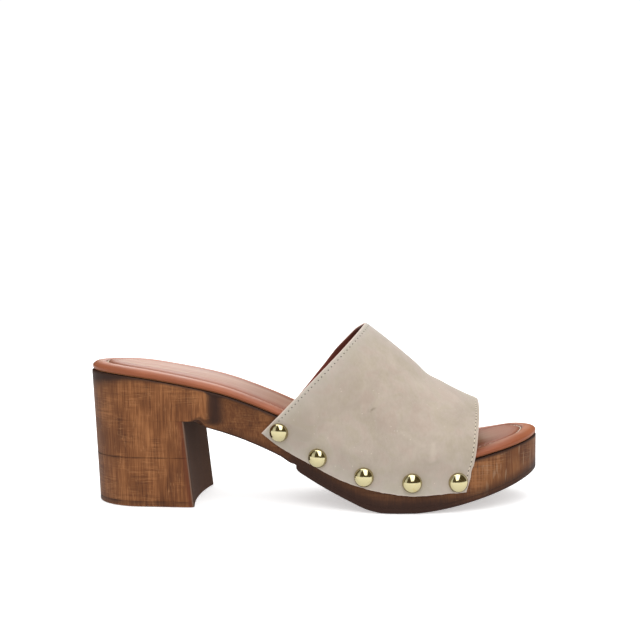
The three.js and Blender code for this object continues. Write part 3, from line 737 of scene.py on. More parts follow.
def wood_finish(colours, name="stained_wood"):
    """Brushed stain: upright streaks, fine cross hatching in patches, and burnished edges."""
    wood = Finish(name)
    streak = wood.noise(900, 3, wood.stretched(1.0, 1.0, 0.04), roughness=0.6)
    broad = wood.noise(130, 2, wood.stretched(1.0, 1.0, 0.25))
    fine = wood.noise(2400, 2, wood.stretched(1.0, 1.0, 0.04))
    blotch = wood.noise(34, 3, distortion=0.5)
    thread = wood.noise(1100, 1, wood.stretched(1.0, 1.0, 0.04)) - 0.5
    weft = wood.noise(1300, 1, wood.stretched(0.05, 0.05, 1.0)) - 0.5
    hatch = wood.noise(900, 2, wood.stretched(0.06, 0.06, 1.0), roughness=0.6)
    patch = wood.noise(75, 2).ramp(0.4, 0.62)
    tone = 0.53 + 0.7 * (streak - 0.5) + 0.55 * (broad - 0.5) + 0.6 * (fine - 0.5) + 0.95 * (blotch - 0.5)
    tone = tone + 0.7 * patch * (hatch - 0.5)
    light = wood.mix(tone.ramp(0.42, 0.85), tuple(colours.wood_mid), tuple(colours.wood_light))
    base = wood.mix(tone.ramp(0.15, 0.5), tuple(colours.wood_dark), light)
    upright = (1 - thread.size().ramp(0.0, 0.03)) * wood.noise(150, 2).ramp(0.45, 0.62)
    level = (1 - weft.size().ramp(0.0, 0.035)) * patch
    toe = wood.along(0.07, 0.09)
    slash = wood.noise(520, 1, wood.stretched(1.0, 1.0, 0.14)).ramp(0.62, 0.7)
    pale = 0.38 * upright + 0.34 * level + 0.45 * toe * slash
    base = wood.mix(pale, base, wood.mix(toe, tint(190, 134, 88), tint(184, 148, 116)))
    # Burnished edges and painted shade, both carried by the stain and shade values.
    stain = wood.attribute("stain")
    base = wood.mix((stain * (0.75 + 0.5 * streak)).ramp(0.0, 1.1), base, tuple(colours.wood_burn_and_shade))
    # Painted shade: a reddish dark band where the heel's side curves in toward the breast.
    base = wood.mix(wood.attribute("red") * 0.75, base, tint(92, 44, 28))
    base = wood.mix(wood.attribute("breast") * 0.93, base, tuple(colours.breast))
    height = 0.6 * streak + 0.25 * fine + 0.15 * hatch
    # Painted highlight along the corners where the sides turn onto the breast.
    face = wood.attribute("breast")
    base = wood.mix(2.2 * face * (1 - face), base, tint(140, 120, 106))
    rough = 0.6 + 0.25 * (broad - 0.5) + 0.38 * face
    return wood.done(base, rough, height, 0.12 * MM, Specular_IOR_Level=0.16)


def rubber_finish(colours):
    rubber = Finish("brown_rubber")
    speckle = rubber.noise(900, 3)
    scuffs = rubber.noise(60, 4, rubber.stretched(1.0, 3.0, 1.0))
    red, green, blue = colours.rubber
    base = rubber.mix(scuffs.ramp(0.45, 0.75), (red, green, blue), (red * 1.35, green * 1.35, blue * 1.4))
    return rubber.done(base, 0.72 + 0.2 * (speckle - 0.5), speckle, 0.08 * MM, Specular_IOR_Level=0.3)


def brass_finish(colours):
    brass = Finish("polished_brass")
    wear = brass.noise(420, 3)
    base = brass.mix(wear.ramp(0.55, 0.8), tuple(colours.brass), tint(182, 166, 116))
    return brass.done(base, 0.1 + 0.12 * wear.ramp(0.5, 0.8), brass.noise(900, 2), 0.012 * MM, Metallic=1.0)


def plain_finish(name, tone, roughness):
    """Thread or the inside of a pinhole: twisted fibre over one tone."""
    plain = Finish(name)
    fibre = plain.noise(5200, 2)
    base = plain.mix(fibre.ramp(0.3, 0.7), tuple(part * 0.8 for part in tone), tuple(tone))
    return plain.done(base, roughness, fibre, 0.05 * MM, Specular_IOR_Level=0.2)


# Wooden platform and heel

def sole_ring(form, places, inset, height, spine=FULL_SPINE):
    share, side = places
    flat = form.outline_point(share, side, np.broadcast_to(inset, share.shape), spine)
    return np.column_stack([flat, height(flat[:, 0] / form.size.length)])


def platform_stain(share, depth, down):
    """Darkening of the platform's side: burnished rim, heel's back, waist and toe."""
    heel = bell(share, 0.0, 0.1)
    # Rim: burnished top edge, with painted shade under the insole's overhang, widest round the heel.
    rim = 0.95 * np.exp(-(depth / ((0.8 + 4.8 * heel) * MM)) ** 1.5)
    # Back: painted shade where the heel's back turns away from the light.
    back = (0.42 + 0.25 * np.exp(-depth / (6 * MM))) * bell(share, 0.0, 0.085)
    # Turn: painted shade where the side curves in toward the waist.
    centre = 0.293 - 0.034 * ramp(down, 0.68, 1.0)
    turn = 0.66 * ramp(share, centre - 0.021, centre - 0.008) * (1 - ramp(share, centre, centre + 0.032))
    # Waist and under: darker over the recessed waist and under the band.
    waist = 0.4 * ramp(share, 0.27, 0.3) * (1 - ramp(share, 0.45, 0.56))
    under = 0.46 * ramp(share, 0.42, 0.5) * (1 - ramp(share, 0.74, 0.88))
    # Forefoot: darker, more so toward the ground.
    forefoot = (0.16 + 0.2 * down ** 2) * ramp(share, 0.44, 0.56)
    # Low: painted shade on the waist's lower part, which faces down.
    low = 0.28 * ramp(down, 0.72, 1.0) * ramp(share, 0.27, 0.3)
    # Toe: painted shade where the toe end turns away from the light.
    toe = 0.2 * ramp(share, 0.975, 1.0) + 0.14 * ramp(share, 0.84, 0.88)
    return rim + back + turn + waist + under + forefoot + low + toe


def make_platform(form, colours):
    shell = Shell("stain", "red", "breast")
    along = stations()
    places = ring_places(along)
    share = places[0]
    waist = ramp(share, 0.236, 0.262) * (1 - ramp(share, 0.44, OUTSOLE.start))
    radius = 0.12 * MM + (WAIST.edge_radius - 0.12 * MM) * waist
    edge = form.side_inset(share, 1.0)
    depth = form.bed_height(share) - form.wood_underside(share)
    rings, points = [], []

    def ring(inset, height, stain):
        points.append(sole_ring(form, places, inset, height))
        rings.append(shell.add(points[-1], stain=stain))

    def keel(step):
        rise = 0.5 - 0.5 * math.cos(math.pi * step)
        return lambda at: form.wood_underside(at) + (
            form.wood_underside(at, "keel") - form.wood_underside(at)) * rise

    # The keel rings carry heavy painted shade on the underside.
    for step in np.linspace(1, 0, 6)[:-1]:
        ring(edge + radius + step * (WAIST.keel_width - radius), keel(step), 0.75)
    # The lower edge's fillet gets extra painted shade along the waist.
    for turn in np.linspace(0, math.pi / 2, 6):
        lift = radius * (1 - math.cos(turn))
        ring(edge + radius * (1 - math.sin(turn)), lambda at: form.wood_underside(at) + lift,
             platform_stain(share, depth - lift, 1.0) + 0.3 * waist)
    rim_share = BED.edge_radius / depth
    for down in np.linspace(0.95, 0.0, 26)[:-1]:
        part = rim_share + (1 - rim_share) * down

        def height(at, down=down):
            top = form.bed_height(at) - BED.edge_radius
            return top + (form.wood_underside(at) - top) * down
        slant = 0.02 * (1 - ramp(down, 0.55, 1.0)) * (1 - ramp(share, 0.31, 0.37)) * ramp(share, 0.2, 0.26)
        ring(form.side_inset(share - slant, part) * (1 - bell(down, 0, 0.05)), height,
             platform_stain(share, depth * part, part))
    for turn in np.linspace(0, math.pi / 2, 5):
        drop = BED.edge_radius * (1 - math.sin(turn))
        ring(BED.edge_radius * (1 - math.cos(turn)), lambda at: form.bed_height(at) - drop,
             platform_stain(share, drop, 0.0))
    shell.loft(rings)
    # Painted shade on the underside, and on the top hidden under the insole.
    shell.cap(rings[0], points[0], len(along), 12, stain=0.75)
    shell.cap(rings[-1], points[-1], len(along), 12, stain=0.4)
    piece = shell.build("platform_body", [wood_finish(colours)], form.origin)
    return settle(piece, "wood", "wood_platform")


def heel_ring(form, height, inset=0.0):
    """Ring of the heel at a height: points, distance behind the breast, and 1 on the breast.

    The inset is for the stained sides alone, and leaves the breast in one plane.
    """
    corner = BREAST.corner
    span = np.interp(height, (0, LEDGE), (BREAST.bottom, BREAST.top))
    heel_turn = HEEL_ROUND * (1 - np.cos(np.linspace(0, math.pi / 2, 30)))
    halves = []
    for side in (LATERAL, MEDIAL):
        front = span + (BREAST.skew if side == MEDIAL else 0)
        straight = np.linspace(HEEL_ROUND, (front - corner) / form.size.length, 26)[1:]
        share = np.append(heel_turn, straight)
        taper = form.heel_taper(share, form.bed_height(share) - height)
        flat = form.outline_point(share, side, taper + inset)
        turn = np.linspace(0, math.pi / 2, 7)[1:]
        end = flat[-1]
        bend = np.column_stack([end[0] + corner * np.sin(turn), end[1] - side * corner * (1 - np.cos(turn))])
        behind = np.append(front - flat[:, 0], np.zeros(len(bend)))
        facing = np.append(np.zeros(len(flat)), ramp(turn, 0.5, 1.3))
        halves.append((np.vstack([flat, bend]), behind, facing))
    (lateral, back_l, face_l), (medial, back_m, face_m) = halves
    u = np.linspace(0, 1, 26)[1:-1]
    hollow = lateral[-1] + (medial[-1] - lateral[-1]) * u[:, None]
    hollow[:, 0] -= BREAST.hollow * 4 * u * (1 - u)
    flat = np.vstack([lateral, hollow, medial[1:][::-1]])
    behind = np.concatenate([back_l, np.zeros(len(u)), back_m[1:][::-1]])
    facing = np.concatenate([face_l, np.ones(len(u)), face_m[1:][::-1]])
    return np.column_stack([flat, np.full(len(flat), height)]), behind, facing


def heel_stain(form, points, facing):
    share, height = points[:, 0] / form.size.length, points[:, 2]
    # Painted shade where the heel's back turns away from the light.
    back = 0.45 * bell(share, 0.0, 0.085)
    # Darker toward the bottom.
    low = 0.34 * np.exp(-(height / (5 * MM)))
    return (back + low) * (1 - facing)


def heel_levels(bottom, top, lower_cut, upper_cut, steps):
    """Heights and insets of a layer's rings, with its two edges eased."""
    middle = [(height, 0.0) for height in np.linspace(bottom + lower_cut, top - upper_cut, steps)]
    return [(bottom, lower_cut), *middle, (top, upper_cut)]


def heel_layer(form, name, levels, materials, glue):
    """One layer; glue is the height of the nearest glue line, which the stain shows."""
    shell = Shell("stain", "red", "breast")
    rings = []
    for height, inset in levels:
        points, behind, facing = heel_ring(form, height, inset)
        uneven = 0.7 + 0.4 * wavering(points[:, 0] / (4 * MM), 5)
        line = 0.75 * np.exp(-abs(height - glue) / (0.35 * MM)) * uneven
        line = line + 0.3 * bell(height, LAYER + 4.2 * MM, 0.4 * MM) * ramp(points[:, 0], 36 * MM, 44 * MM) * uneven
        # Red: painted shade where the side curves in toward the breast.
        red = bell(behind, 0.9 * MM, 2.2 * MM) * (1 - facing)
        rings.append(shell.add(points, stain=heel_stain(form, points, facing) + line * (1 - facing), red=red,
                               breast=facing))
    shell.loft(rings, len(materials) - 1)
    shell.close(rings[0])
    shell.close(rings[-1])
    return shell.build(name, materials, form.origin)


def make_heel(form, colours):
    wood = [bpy.data.materials["stained_wood"]]
    cut = HEEL.chamfer
    lower = heel_layer(form, "heel_layer_lower", heel_levels(TIP, LAYER, cut * 0.6, cut, 40), wood, LAYER)
    settle(lower, "wood", "heel_block_lower")
    upper = heel_layer(form, "heel_layer_upper", heel_levels(LAYER, LEDGE, cut, 0.0, 34), wood, LAYER)
    settle(upper, "wood", "heel_block_upper")
    tip_levels = [(0.0, 0.5 * MM), (0.08 * MM, 0.22 * MM), (0.25 * MM, 0.05 * MM), (0.5 * MM, 0.0),
                  (TIP - 0.12 * MM, 0.0), (TIP, 0.12 * MM)]
    tip = heel_layer(form, "heel_top_piece", tip_levels, [bpy.data.materials["brown_rubber"], *wood], TIP)
    settle(tip, "rubber", "heel_tip")


def make_outsole(form, colours):
    """Forefoot rubber with a bevelled back edge and shallow slanting grooves."""
    size = form.size
    shell = Shell("stain", "red", "breast")
    along = stations(OUTSOLE.start, 0.0034)
    places = ring_places(along)
    share = places[0]
    spine = (OUTSOLE.start + 0.04, FULL_SPINE[1])
    side = form.side_inset(share, 1.0)
    radius = OUTSOLE.edge_radius

    def ground(at):
        back = np.clip(1 - (at - OUTSOLE.start) * size.length / OUTSOLE.bevel_length, 0, 1)
        return form.ground_line(at) + OUTSOLE.bevel * back ** 2

    rings, points = [], []

    def ring(inset, height, extra):
        points.append(sole_ring(form, places, inset, height, spine))
        rings.append(shell.add(points[-1], stain=platform_stain(share, 12 * MM, 1.0) + extra))

    # Painted shade on the lower rounded edge, lightening upward; the upper rings darken a little toward the wood.
    for turn in np.linspace(0, math.pi / 2, 6):
        lift = radius * (1 - math.cos(turn))
        ring(side + radius * (1 - math.sin(turn)), lambda at: ground(at) + lift, 0.45 - 0.3 * ramp(turn, 0.3, 1.2))
    ring(side, lambda at: (ground(at) + radius + form.outsole_top(at)) / 2, 0.05)
    ring(side, form.outsole_top, 0.1)
    ring(side, lambda at: form.outsole_top(at) + CLEARANCE - 0.02 * MM, 0.2)

    def tread(inner, blend):
        from_side = np.minimum(blend, 1 - blend) * 2 * form.half_width(inner[:, :1, 0] / size.length)
        from_ends = np.minimum(inner[..., 0] - OUTSOLE.start * size.length, size.length - inner[..., 0])
        border = ramp(from_side, 3.5 * MM, 5 * MM) * ramp(from_ends, 7 * MM, 9 * MM)
        slant = inner[..., 0] + 0.3 * np.abs(inner[..., 1])
        wave = np.sin(slant * 2 * math.pi / size.tread_pitch)
        return size.tread_depth * border * ramp(wave, 0.1, 0.6)

    shell.loft(rings, 1)
    shell.cap(rings[0], points[0], len(along), 60, tread)
    shell.cap(rings[-1], points[-1], len(along), 8)
    finishes = [bpy.data.materials["brown_rubber"], bpy.data.materials["stained_wood"]]
    piece = shell.build("outsole_rubber", finishes, form.origin)
    return settle(piece, "rubber", "forefoot_outsole")


def rounded_section(rows, steps):
    """Smooth curve through a short row of section points, by their distance apart."""
    rows = np.array(rows)
    at = np.append(0, np.cumsum(np.linalg.norm(np.diff(rows, axis=0), axis=1)))
    where = np.linspace(0, at[-1], steps)
    curve = Table("at inset rise", *np.column_stack([at, rows]).tolist())
    return np.column_stack([curve("inset", where), curve("rise", where)])


def make_insole(form, colours):
    """Padded sock: rolled rim, stitched groove, and a dished pad."""
    size = form.size
    shell = Shell("rim", "roll", "groove", "edge", "sheen", "tip")
    along = stations()
    places = ring_places(along)

    def top(rise):
        def height(at):
            thickness = (size.insole_thickness + size.seat_padding * BED_LINE("pitch", at) ** 4
                         + size.toe_padding * ramp(at, 0.87, 0.97))
            return form.bed_height(at) + CLEARANCE + rise * thickness
        return height

    rings, points = [], []
    share = places[0]
    end = np.maximum(ramp(share, 0.84, 0.97), 0.45 * (1 - ramp(share, 0.01, 0.09)))
    width = size.rim_width * (1 + 0.3 * bell(share, 0.855, 0.05) - 0.22 * bell(share, 0.965, 0.025))
    low = 0.1 * (1 - ramp(share, 0.35, 0.8))
    sections = rounded_section(RIM_SECTION, 44), rounded_section(END_SECTION, 44)
    for along_side, at_end in zip(*sections):
        inset, rise = ((1 - end) * side_value + end * end_value for side_value, end_value in zip(along_side, at_end))
        rise = rise * (1 - low * (1 - ramp(inset, 0.85, 1.5)))
        points.append(sole_ring(form, places, inset * width, top(rise)))
        # Roll holds a painted highlight on the rim's crown, tip a brighter orange painted highlight at the toe, groove
        # painted shade in the groove.
        rings.append(shell.add(points[-1], rim=1 - ramp(inset, 0.55, 1.1), tip=ramp(share, 0.92, 0.99),
                               roll=bell(inset, 0.56, 0.24),
                               groove=bell(inset, 1.0, 0.07), edge=1 - ramp(rise, 0.02, 0.14)))

    def dish(inner, blend):
        share = inner[..., 0] / size.length
        middle = (4 * blend * (1 - blend)) ** 1.3
        seat = 1 - ramp(share, 0.2, 0.42)
        ball = 0.7 * bell(share, 0.72, 0.12)
        arch = 0.35 * bell(share, 0.42, 0.09)
        return size.pad_dish * middle * (arch - seat * ramp(share, 0.02, 0.12) - ball)

    shell.loft(rings)
    shell.cap(rings[0], points[0], len(along), 4)
    across = np.linspace(0, 1, 31)[1:-1]
    # Painted sheen over the pad's middle, fading toward the toe.
    sheen = (4 * across * (1 - across)) ** 0.8 * (1 - 0.85 * ramp(along, 0.9, 0.967))[:, None]
    shell.cap(rings[-1], points[-1], len(along), 30, dish, sheen=sheen)
    piece = shell.build("insole_sock", [insole_finish(colours)], form.origin, 70)
    settle(piece, "insole_leather", "insole")

    groove = sole_ring(form, places, width, top(0.8 - 0.8 * low)) + form.origin
    path = path_object("groove_path", np.vstack([groove, groove[:1]]), (0, 0, 1))
    thread = plain_finish("groove_thread", tuple(colours.thread), 0.7)
    beads = make_beads(path, "insole_stitches", thread, size.groove_pitch, 2.5 * MM, 0.75 * MM, 0.6 * MM)
    return settle(beads, "insole_leather")


# What repeats along a path

def path_object(name, points, outward):
    """An open line of edges that knows which way is out of the surface."""
    mesh = bpy.data.meshes.new(name)
    mesh.from_pydata(points.tolist(), [(i, i + 1) for i in range(len(points) - 1)], [])
    layer = mesh.attributes.new("outward", "FLOAT_VECTOR", "POINT")
    layer.data.foreach_set("vector", np.broadcast_to(outward, points.shape).astype(np.float32).ravel())
    path = bpy.data.objects.new(name, mesh)
    bpy.context.scene.collection.objects.link(path)
    return path


def bead_tree():
    """Geometry nodes that set one rounded bead at each step along a path."""
    tree = bpy.data.node_groups.new("Beads along a path", "GeometryNodeTree")
    sockets = [("Path", "NodeSocketGeometry"), ("Pitch", "NodeSocketFloat"), ("Size", "NodeSocketVector"),
               ("Shift", "NodeSocketVector"), ("Finish", "NodeSocketMaterial")]
    for name, kind in sockets:
        tree.interface.new_socket(name=name, in_out="INPUT", socket_type=kind)
    tree.interface.new_socket(name="Beads", in_out="OUTPUT", socket_type="NodeSocketGeometry")
    nodes = Nodes(tree)
    entry = tree.nodes.new("NodeGroupInput")
    given = {name: Value(nodes, entry.outputs[name]) for name, _ in sockets}
    curve = nodes.node("GeometryNodeMeshToCurve", None, {"Mesh": given["Path"]})
    steps = nodes.node("GeometryNodeResampleCurve", {"mode": "LENGTH"},
                       {"Curve": curve, "Length": given["Pitch"]})
    outward = nodes.node("GeometryNodeInputNamedAttribute", {"data_type": "FLOAT_VECTOR"},
                         {"Name": "outward"})
    forward = nodes.node("FunctionNodeAlignRotationToVector", {"axis": "X"},
                         {"Vector": nodes.node("GeometryNodeInputTangent")})
    standing = nodes.node("FunctionNodeAlignRotationToVector", {"axis": "Z", "pivot_axis": "X"},
                          {"Rotation": forward, "Vector": outward})
    ball = nodes.node("GeometryNodeMeshUVSphere", None, {"Segments": 8, "Rings": 6, "Radius": 0.5})
    shaped = nodes.node("GeometryNodeTransform", None, {"Geometry": ball, "Scale": given["Size"]})
    smooth = nodes.node("GeometryNodeSetShadeSmooth", None, {"Geometry": shaped})
    beads = nodes.node("GeometryNodeInstanceOnPoints", None,
                       {"Points": steps, "Instance": smooth, "Rotation": standing})
    moved = nodes.node("GeometryNodeTranslateInstances", None,
                       {"Instances": beads, "Translation": given["Shift"], "Local Space": True})
    real = nodes.node("GeometryNodeRealizeInstances", None, {"Geometry": moved})
    ended = nodes.node("GeometryNodeSetMaterial", None, {"Geometry": real, "Material": given["Finish"]})
    nodes.node("NodeGroupOutput", None, {"Beads": ended})
    return tree


def make_beads(path, name, finish, pitch, along, across, high, shift=(0.0, 0.0, 0.0)):
    """Runs the beads along a path and keeps them as a plain mesh."""
    tree = bpy.data.node_groups.get("Beads along a path") or bead_tree()
    modifier = path.modifiers.new("Beads", "NODES")
    modifier.node_group = tree
    given = {"Pitch": pitch, "Size": (along, across, high), "Shift": shift, "Finish": finish}
    for socket in tree.interface.items_tree:
        if socket.item_type == "SOCKET" and socket.name in given:
            modifier[socket.identifier] = given[socket.name]
    bpy.context.view_layer.update()
    evaluated = path.evaluated_get(bpy.context.evaluated_depsgraph_get())
    mesh = bpy.data.meshes.new_from_object(evaluated)
    path.modifiers.clear()
    mesh.name = name
    beads = bpy.data.objects.new(name, mesh)
    bpy.context.scene.collection.objects.link(beads)
    bpy.data.objects.remove(path)
    return beads


# The suede band

class BandSurface:
    """The band as a grid: rows run round the foot, columns from the collar to the toe edge."""

    def __init__(self, form):
        self.form = form
        size = form.size
        foot = 1 - BAND.wall_share
        arch = np.linspace(-foot, foot, 211)
        wall = foot + BAND.wall_share * np.append(np.linspace(0, 0.965, 26)[1:], (0.98, 0.99, 0.996, 1.0))
        self.around = np.concatenate([-wall[::-1], arch, wall])
        collar, toe = form.collar_share(self.around), form.toe_share(self.around)
        toe = toe - NOTCH.depth / size.length * bell(self.around, NOTCH.around, NOTCH.width)
        self.span = (toe - collar) * size.length
        near = np.array([0.0, 0.06, 0.16, 0.3, 0.5]) * MM / self.span[:, None]
        inner = np.linspace(0, 1, 111)[1:-1]
        body = near[:, -1:] + (1 - 2 * near[:, -1:]) * inner
        self.along = np.hstack([near, body, 1 - near[:, ::-1]])
        share = collar[:, None] + self.along * (toe - collar)[:, None]
        self.base = self.eased(form.band_point(share, self.around[:, None]))
        self.normal = self.normals(self.base)
        steps = np.linalg.norm(np.diff(self.base, axis=0), axis=2).mean(axis=1)
        arc = np.append(0, np.cumsum(steps))
        self.across = (arc - arc[len(arc) // 2])[:, None] + np.zeros_like(self.along)
        self.lengthways = self.along * self.span[:, None]
        sides = np.minimum(self.lengthways, self.span[:, None] - self.lengthways)
        bottom = np.minimum(arc, arc[-1] - arc)[:, None]
        self.from_edge = np.minimum(sides, bottom)
        self.from_bottom = bottom + np.zeros_like(self.along)
        self.shape()

    def eased(self, points):
        """Softens the knee where the arch meets the wall, and leaves the lower edges."""
        for _ in range(6):
            points[1:-1] = (points[:-2] + 2 * points[1:-1] + points[2:]) / 4
        return points

    def normals(self, points):
        along = np.gradient(points, axis=1)
        around = np.gradient(points, axis=0)
        return unit(np.cross(along, around))

    def shape(self):
        """Creases, dimples round the studs, and eased cut edges."""
        size = self.form.size
        swell = np.zeros_like(self.along)
        for start, end, height, width in CREASES:
            swell += height * bell(self.to_line(start, end), 0, width)
        swell += 0.18 * MM * np.sin(self.lengthways / (13 * MM) + 2 * self.across / (31 * MM))
        swell *= ramp(self.from_bottom, 10 * MM, 22 * MM)
        dent = np.zeros_like(self.along)
        for side in (LATERAL, MEDIAL):
            for row in range(len(STUD_ROWS)):
                centre = self.form.stud_place(row, side)[0]
                away = np.linalg.norm(self.base - centre, axis=2)
                dent -= 0.2 * MM * bell(away, 0, size.stud_radius * 1.1)
                dent += 0.16 * MM * bell(away, size.stud_radius * 1.5, 1.6 * MM)
        inside = np.clip(1 - self.from_edge / UPPER.edge_round, 0, 1)
        ease = UPPER.edge_round * (1 - np.sqrt(1 - inside ** 2))
        ragged = 0.14 * MM * wavering(self.base[..., 0] / (0.9 * MM), 3)
        ragged = ragged * (1 - ramp(self.from_bottom, 0.0, 1.4 * MM))
        lift = self.normal * (swell + dent - ease)[..., None]
        self.outer = self.base + lift
        inner_lift = self.normal * (swell - size.wall + ease)[..., None]
        self.inner = self.base + inner_lift
        self.outer[..., 2] += ragged
        self.inner[..., 2] += ragged

    def place(self, along, around):
        """Unrolled place of a point named by its shares along and around."""
        across = np.interp(around, self.around, self.across[:, 0])
        return np.array([along * np.interp(around, self.around, self.span), across])

    def to_line(self, start, end):
        first, last = self.place(*start), self.place(*end)
        way = last - first
        dx, dy = self.lengthways - first[0], self.across - first[1]
        u = np.clip((dx * way[0] + dy * way[1]) / (way @ way), 0, 1)
        return np.hypot(dx - u * way[0], dy - u * way[1])

    def marks(self):
        dark = np.zeros_like(self.along)
        for start, end, width, depth in MARKS_AND_HIGHLIGHTS:
            dark += depth * bell(self.to_line(start, end), 0, width)
        return dark

    def seam(self, from_collar, inset):
        """Points and outward directions of a seam at an inset from the collar or the toe edge."""
        rows = np.where(self.from_bottom[:, 0] > (9 * MM if from_collar else 4 * MM))[0]
        points, outward = [], []
        for row in rows:
            at = inset if from_collar else self.span[row] - inset
            points.append([np.interp(at, self.lengthways[row], self.outer[row, :, i]) for i in range(3)])
            outward.append([np.interp(at, self.lengthways[row], self.normal[row, :, i]) for i in range(3)])
        return np.array(points), np.array(outward)


def make_upper(form, colours):
    band = BandSurface(form)
    shell = Shell("mark", "scuff", "grey", "edge", "height")
    grey = np.maximum(np.exp(-band.lengthways / (5 * MM)), 0.7 * np.exp(-band.from_bottom / (12 * MM)))
    scuff = bell(band.to_line((0.35, -0.602), (0.362, -0.586)), 0, 0.7 * MM)
    edge = bell(band.from_edge, 0, 0.45 * MM)
    outer = shell.add(band.outer, mark=band.marks(), scuff=scuff, grey=grey, edge=edge)
    inner = shell.add(band.inner, height=band.inner[..., 2] / form.size.crown_height)
    shell.skin(outer, 0)
    shell.skin(inner, 1)
    for first, second in ((outer[:, 0], inner[:, 0]), (outer[:, -1], inner[:, -1]),
                          (outer[0], inner[0]), (outer[-1], inner[-1])):
        middle = shell.add((shell.at(first) + shell.at(second)) / 2)
        shell.skin(np.stack([first, middle]), 2)
        shell.skin(np.stack([middle, second]), 1)
    finishes = [suede_finish(colours), lining_finish(colours), cut_edge_finish(colours)]
    settle(shell.build("vamp_band", finishes, form.origin, 60), "suede", "upper_band")

    size = form.size
    threads = {"collar": plain_finish("collar_thread", tint(208, 199, 184), 0.8),
               "toe_edge": plain_finish("toe_edge_thread", tuple(colours.thread), 0.8)}
    # Painted shade: dark beads stand in for the shaded insides of the needle holes.
    hole = plain_finish("pinhole_shade", tint(84, 82, 74), 0.9)
    for name, from_collar in (("collar", True), ("toe_edge", False)):
        points, outward = band.seam(from_collar, size.stitch_inset)
        points = points + form.origin
        holes = make_beads(path_object(name + "_holes", points, outward), name + "_pinhole_shades", hole,
                           size.stitch_pitch, 0.75 * MM, 0.6 * MM, 0.16 * MM)
        settle(holes, "suede")
        between = (size.stitch_pitch / 2, 0.0, 0.0)
        stitches = make_beads(path_object(name + "_line", points, outward), name + "_stitches", threads[name],
                              size.stitch_pitch, 1.7 * MM, 0.4 * MM, 0.26 * MM, between)
        settle(stitches, "suede")


def make_studs(form, colours):
    """Domed nails with a thin flange, turned from one profile."""
    size = form.size
    brass = brass_finish(colours)
    flange, lip = STUD.flange, STUD.lip
    dome_radius = size.stud_radius
    turn = np.linspace(0, math.pi / 2, 15)
    dome = np.column_stack([dome_radius * np.cos(turn),
                            CLEARANCE + flange + (size.stud_height - flange) * np.sin(turn)])
    base = np.array([
        (0.0, -STUD.shank_length), (STUD.shank_radius, STUD.shank_radius - STUD.shank_length),
        (STUD.shank_radius, 0.0), (size.stud_radius - 0.6 * MM, 0.0), (size.stud_radius - 0.25 * MM, -lip),
        (size.stud_radius - 0.05 * MM, -lip), (size.stud_radius, 0.0)])
    profile = np.vstack([base, dome])
    angle = np.linspace(0, 2 * math.pi, 57)[:-1]
    for side, name in ((LATERAL, "lateral"), (MEDIAL, "medial")):
        for row in range(len(STUD_ROWS)):
            centre, outward = form.stud_place(row, side)
            level = unit(np.cross(outward, (0.0, 0.0, 1.0)))
            upright = np.cross(level, outward)
            spokes = level * np.cos(angle)[:, None] + upright * np.sin(angle)[:, None]
            shell = Shell()
            rings = []
            for radius, height in profile[1:-1]:
                rings.append(shell.add(centre + outward * height + spokes * radius))
            for end in (0, -1):
                tip = shell.add((centre + outward * profile[end][1])[None])
                rings.insert(0 if end == 0 else len(rings), np.repeat(tip, len(angle)))
            shell.loft(rings)
            piece = shell.build(f"stud_head_{name}_{row + 1}", [brass], form.origin, 35)
            settle(piece, "brass", f"stud_{name}_{row + 1}")


# Stage

CAMERA = SimpleNamespace(place=(36.74 * MM, -545.31 * MM, 129.05 * MM), yaw=-0.0593, pitch=0.0567,
                         roll=-0.0087, lens=55.66)


def make_camera(scene):
    yaw, pitch, roll = CAMERA.yaw, CAMERA.pitch, CAMERA.roll
    forward = Vector((math.sin(yaw) * math.cos(pitch), math.cos(yaw) * math.cos(pitch), -math.sin(pitch)))
    level = Vector((math.cos(yaw), -math.sin(yaw), 0))
    upright = level.cross(forward)
    right = level * math.cos(roll) + upright * math.sin(roll)
    up = upright * math.cos(roll) - level * math.sin(roll)
    data = bpy.data.cameras.new("camera")
    data.lens = CAMERA.lens
    data.sensor_width = 36
    data.clip_start, data.clip_end = 0.01, 30
    camera = bpy.data.objects.new("camera", data)
    camera.matrix_world = Matrix.Translation(CAMERA.place) @ Matrix((right, up, -forward)).transposed().to_4x4()
    scene.collection.objects.link(camera)
    scene.camera = camera


def area_light(scene, name, place, target, width, height, watts):
    data = bpy.data.lights.new(name, "AREA")
    data.shape = "ELLIPSE"
    data.size = width
    data.size_y = height
    data.energy = watts
    light = bpy.data.objects.new(name, data)
    aim = Vector(target) - Vector(place)
    light.matrix_world = Matrix.Translation(place) @ aim.to_track_quat("-Z", "Y").to_matrix().to_4x4()
    light.visible_camera = light.visible_glossy = False
    scene.collection.objects.link(light)


def make_floor():
    floor = Finish("pale_floor")
    shade = floor.noise(3, 2)
    material = floor.done(floor.mix(shade, (0.94, 0.94, 0.94), (0.97, 0.97, 0.97)), 0.9, Specular_IOR_Level=0.1,
                          Emission_Color=(1.0, 1.0, 1.0), Emission_Strength=0.45)
    angle = np.linspace(0, 2 * math.pi, 97)[:-1]
    shell = Shell()
    rim = np.column_stack([6 * np.cos(angle), 6 * np.sin(angle), np.full(len(angle), -0.2 * MM)])
    shell.close(shell.add(rim))
    floor = shell.build("floor", [material], np.zeros(3))
    floor.visible_diffuse = False
    floor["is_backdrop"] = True


def make_card(name, points, finish):
    """A studio card that only polished surfaces see."""
    shell = Shell()
    shell.skin(shell.add(points))
    card = shell.build(name, [finish], np.zeros(3))
    card.visible_camera = card.visible_diffuse = card.visible_shadow = False
    card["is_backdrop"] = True


def card_finish(name, tone, glow):
    card = Finish(name)
    shade = card.mix(card.noise(2, 1), tone, tuple(part * 1.1 for part in tone))
    return card.done(shade, 1.0, Emission_Color=(1.0, 1.0, 1.0), Emission_Strength=glow)


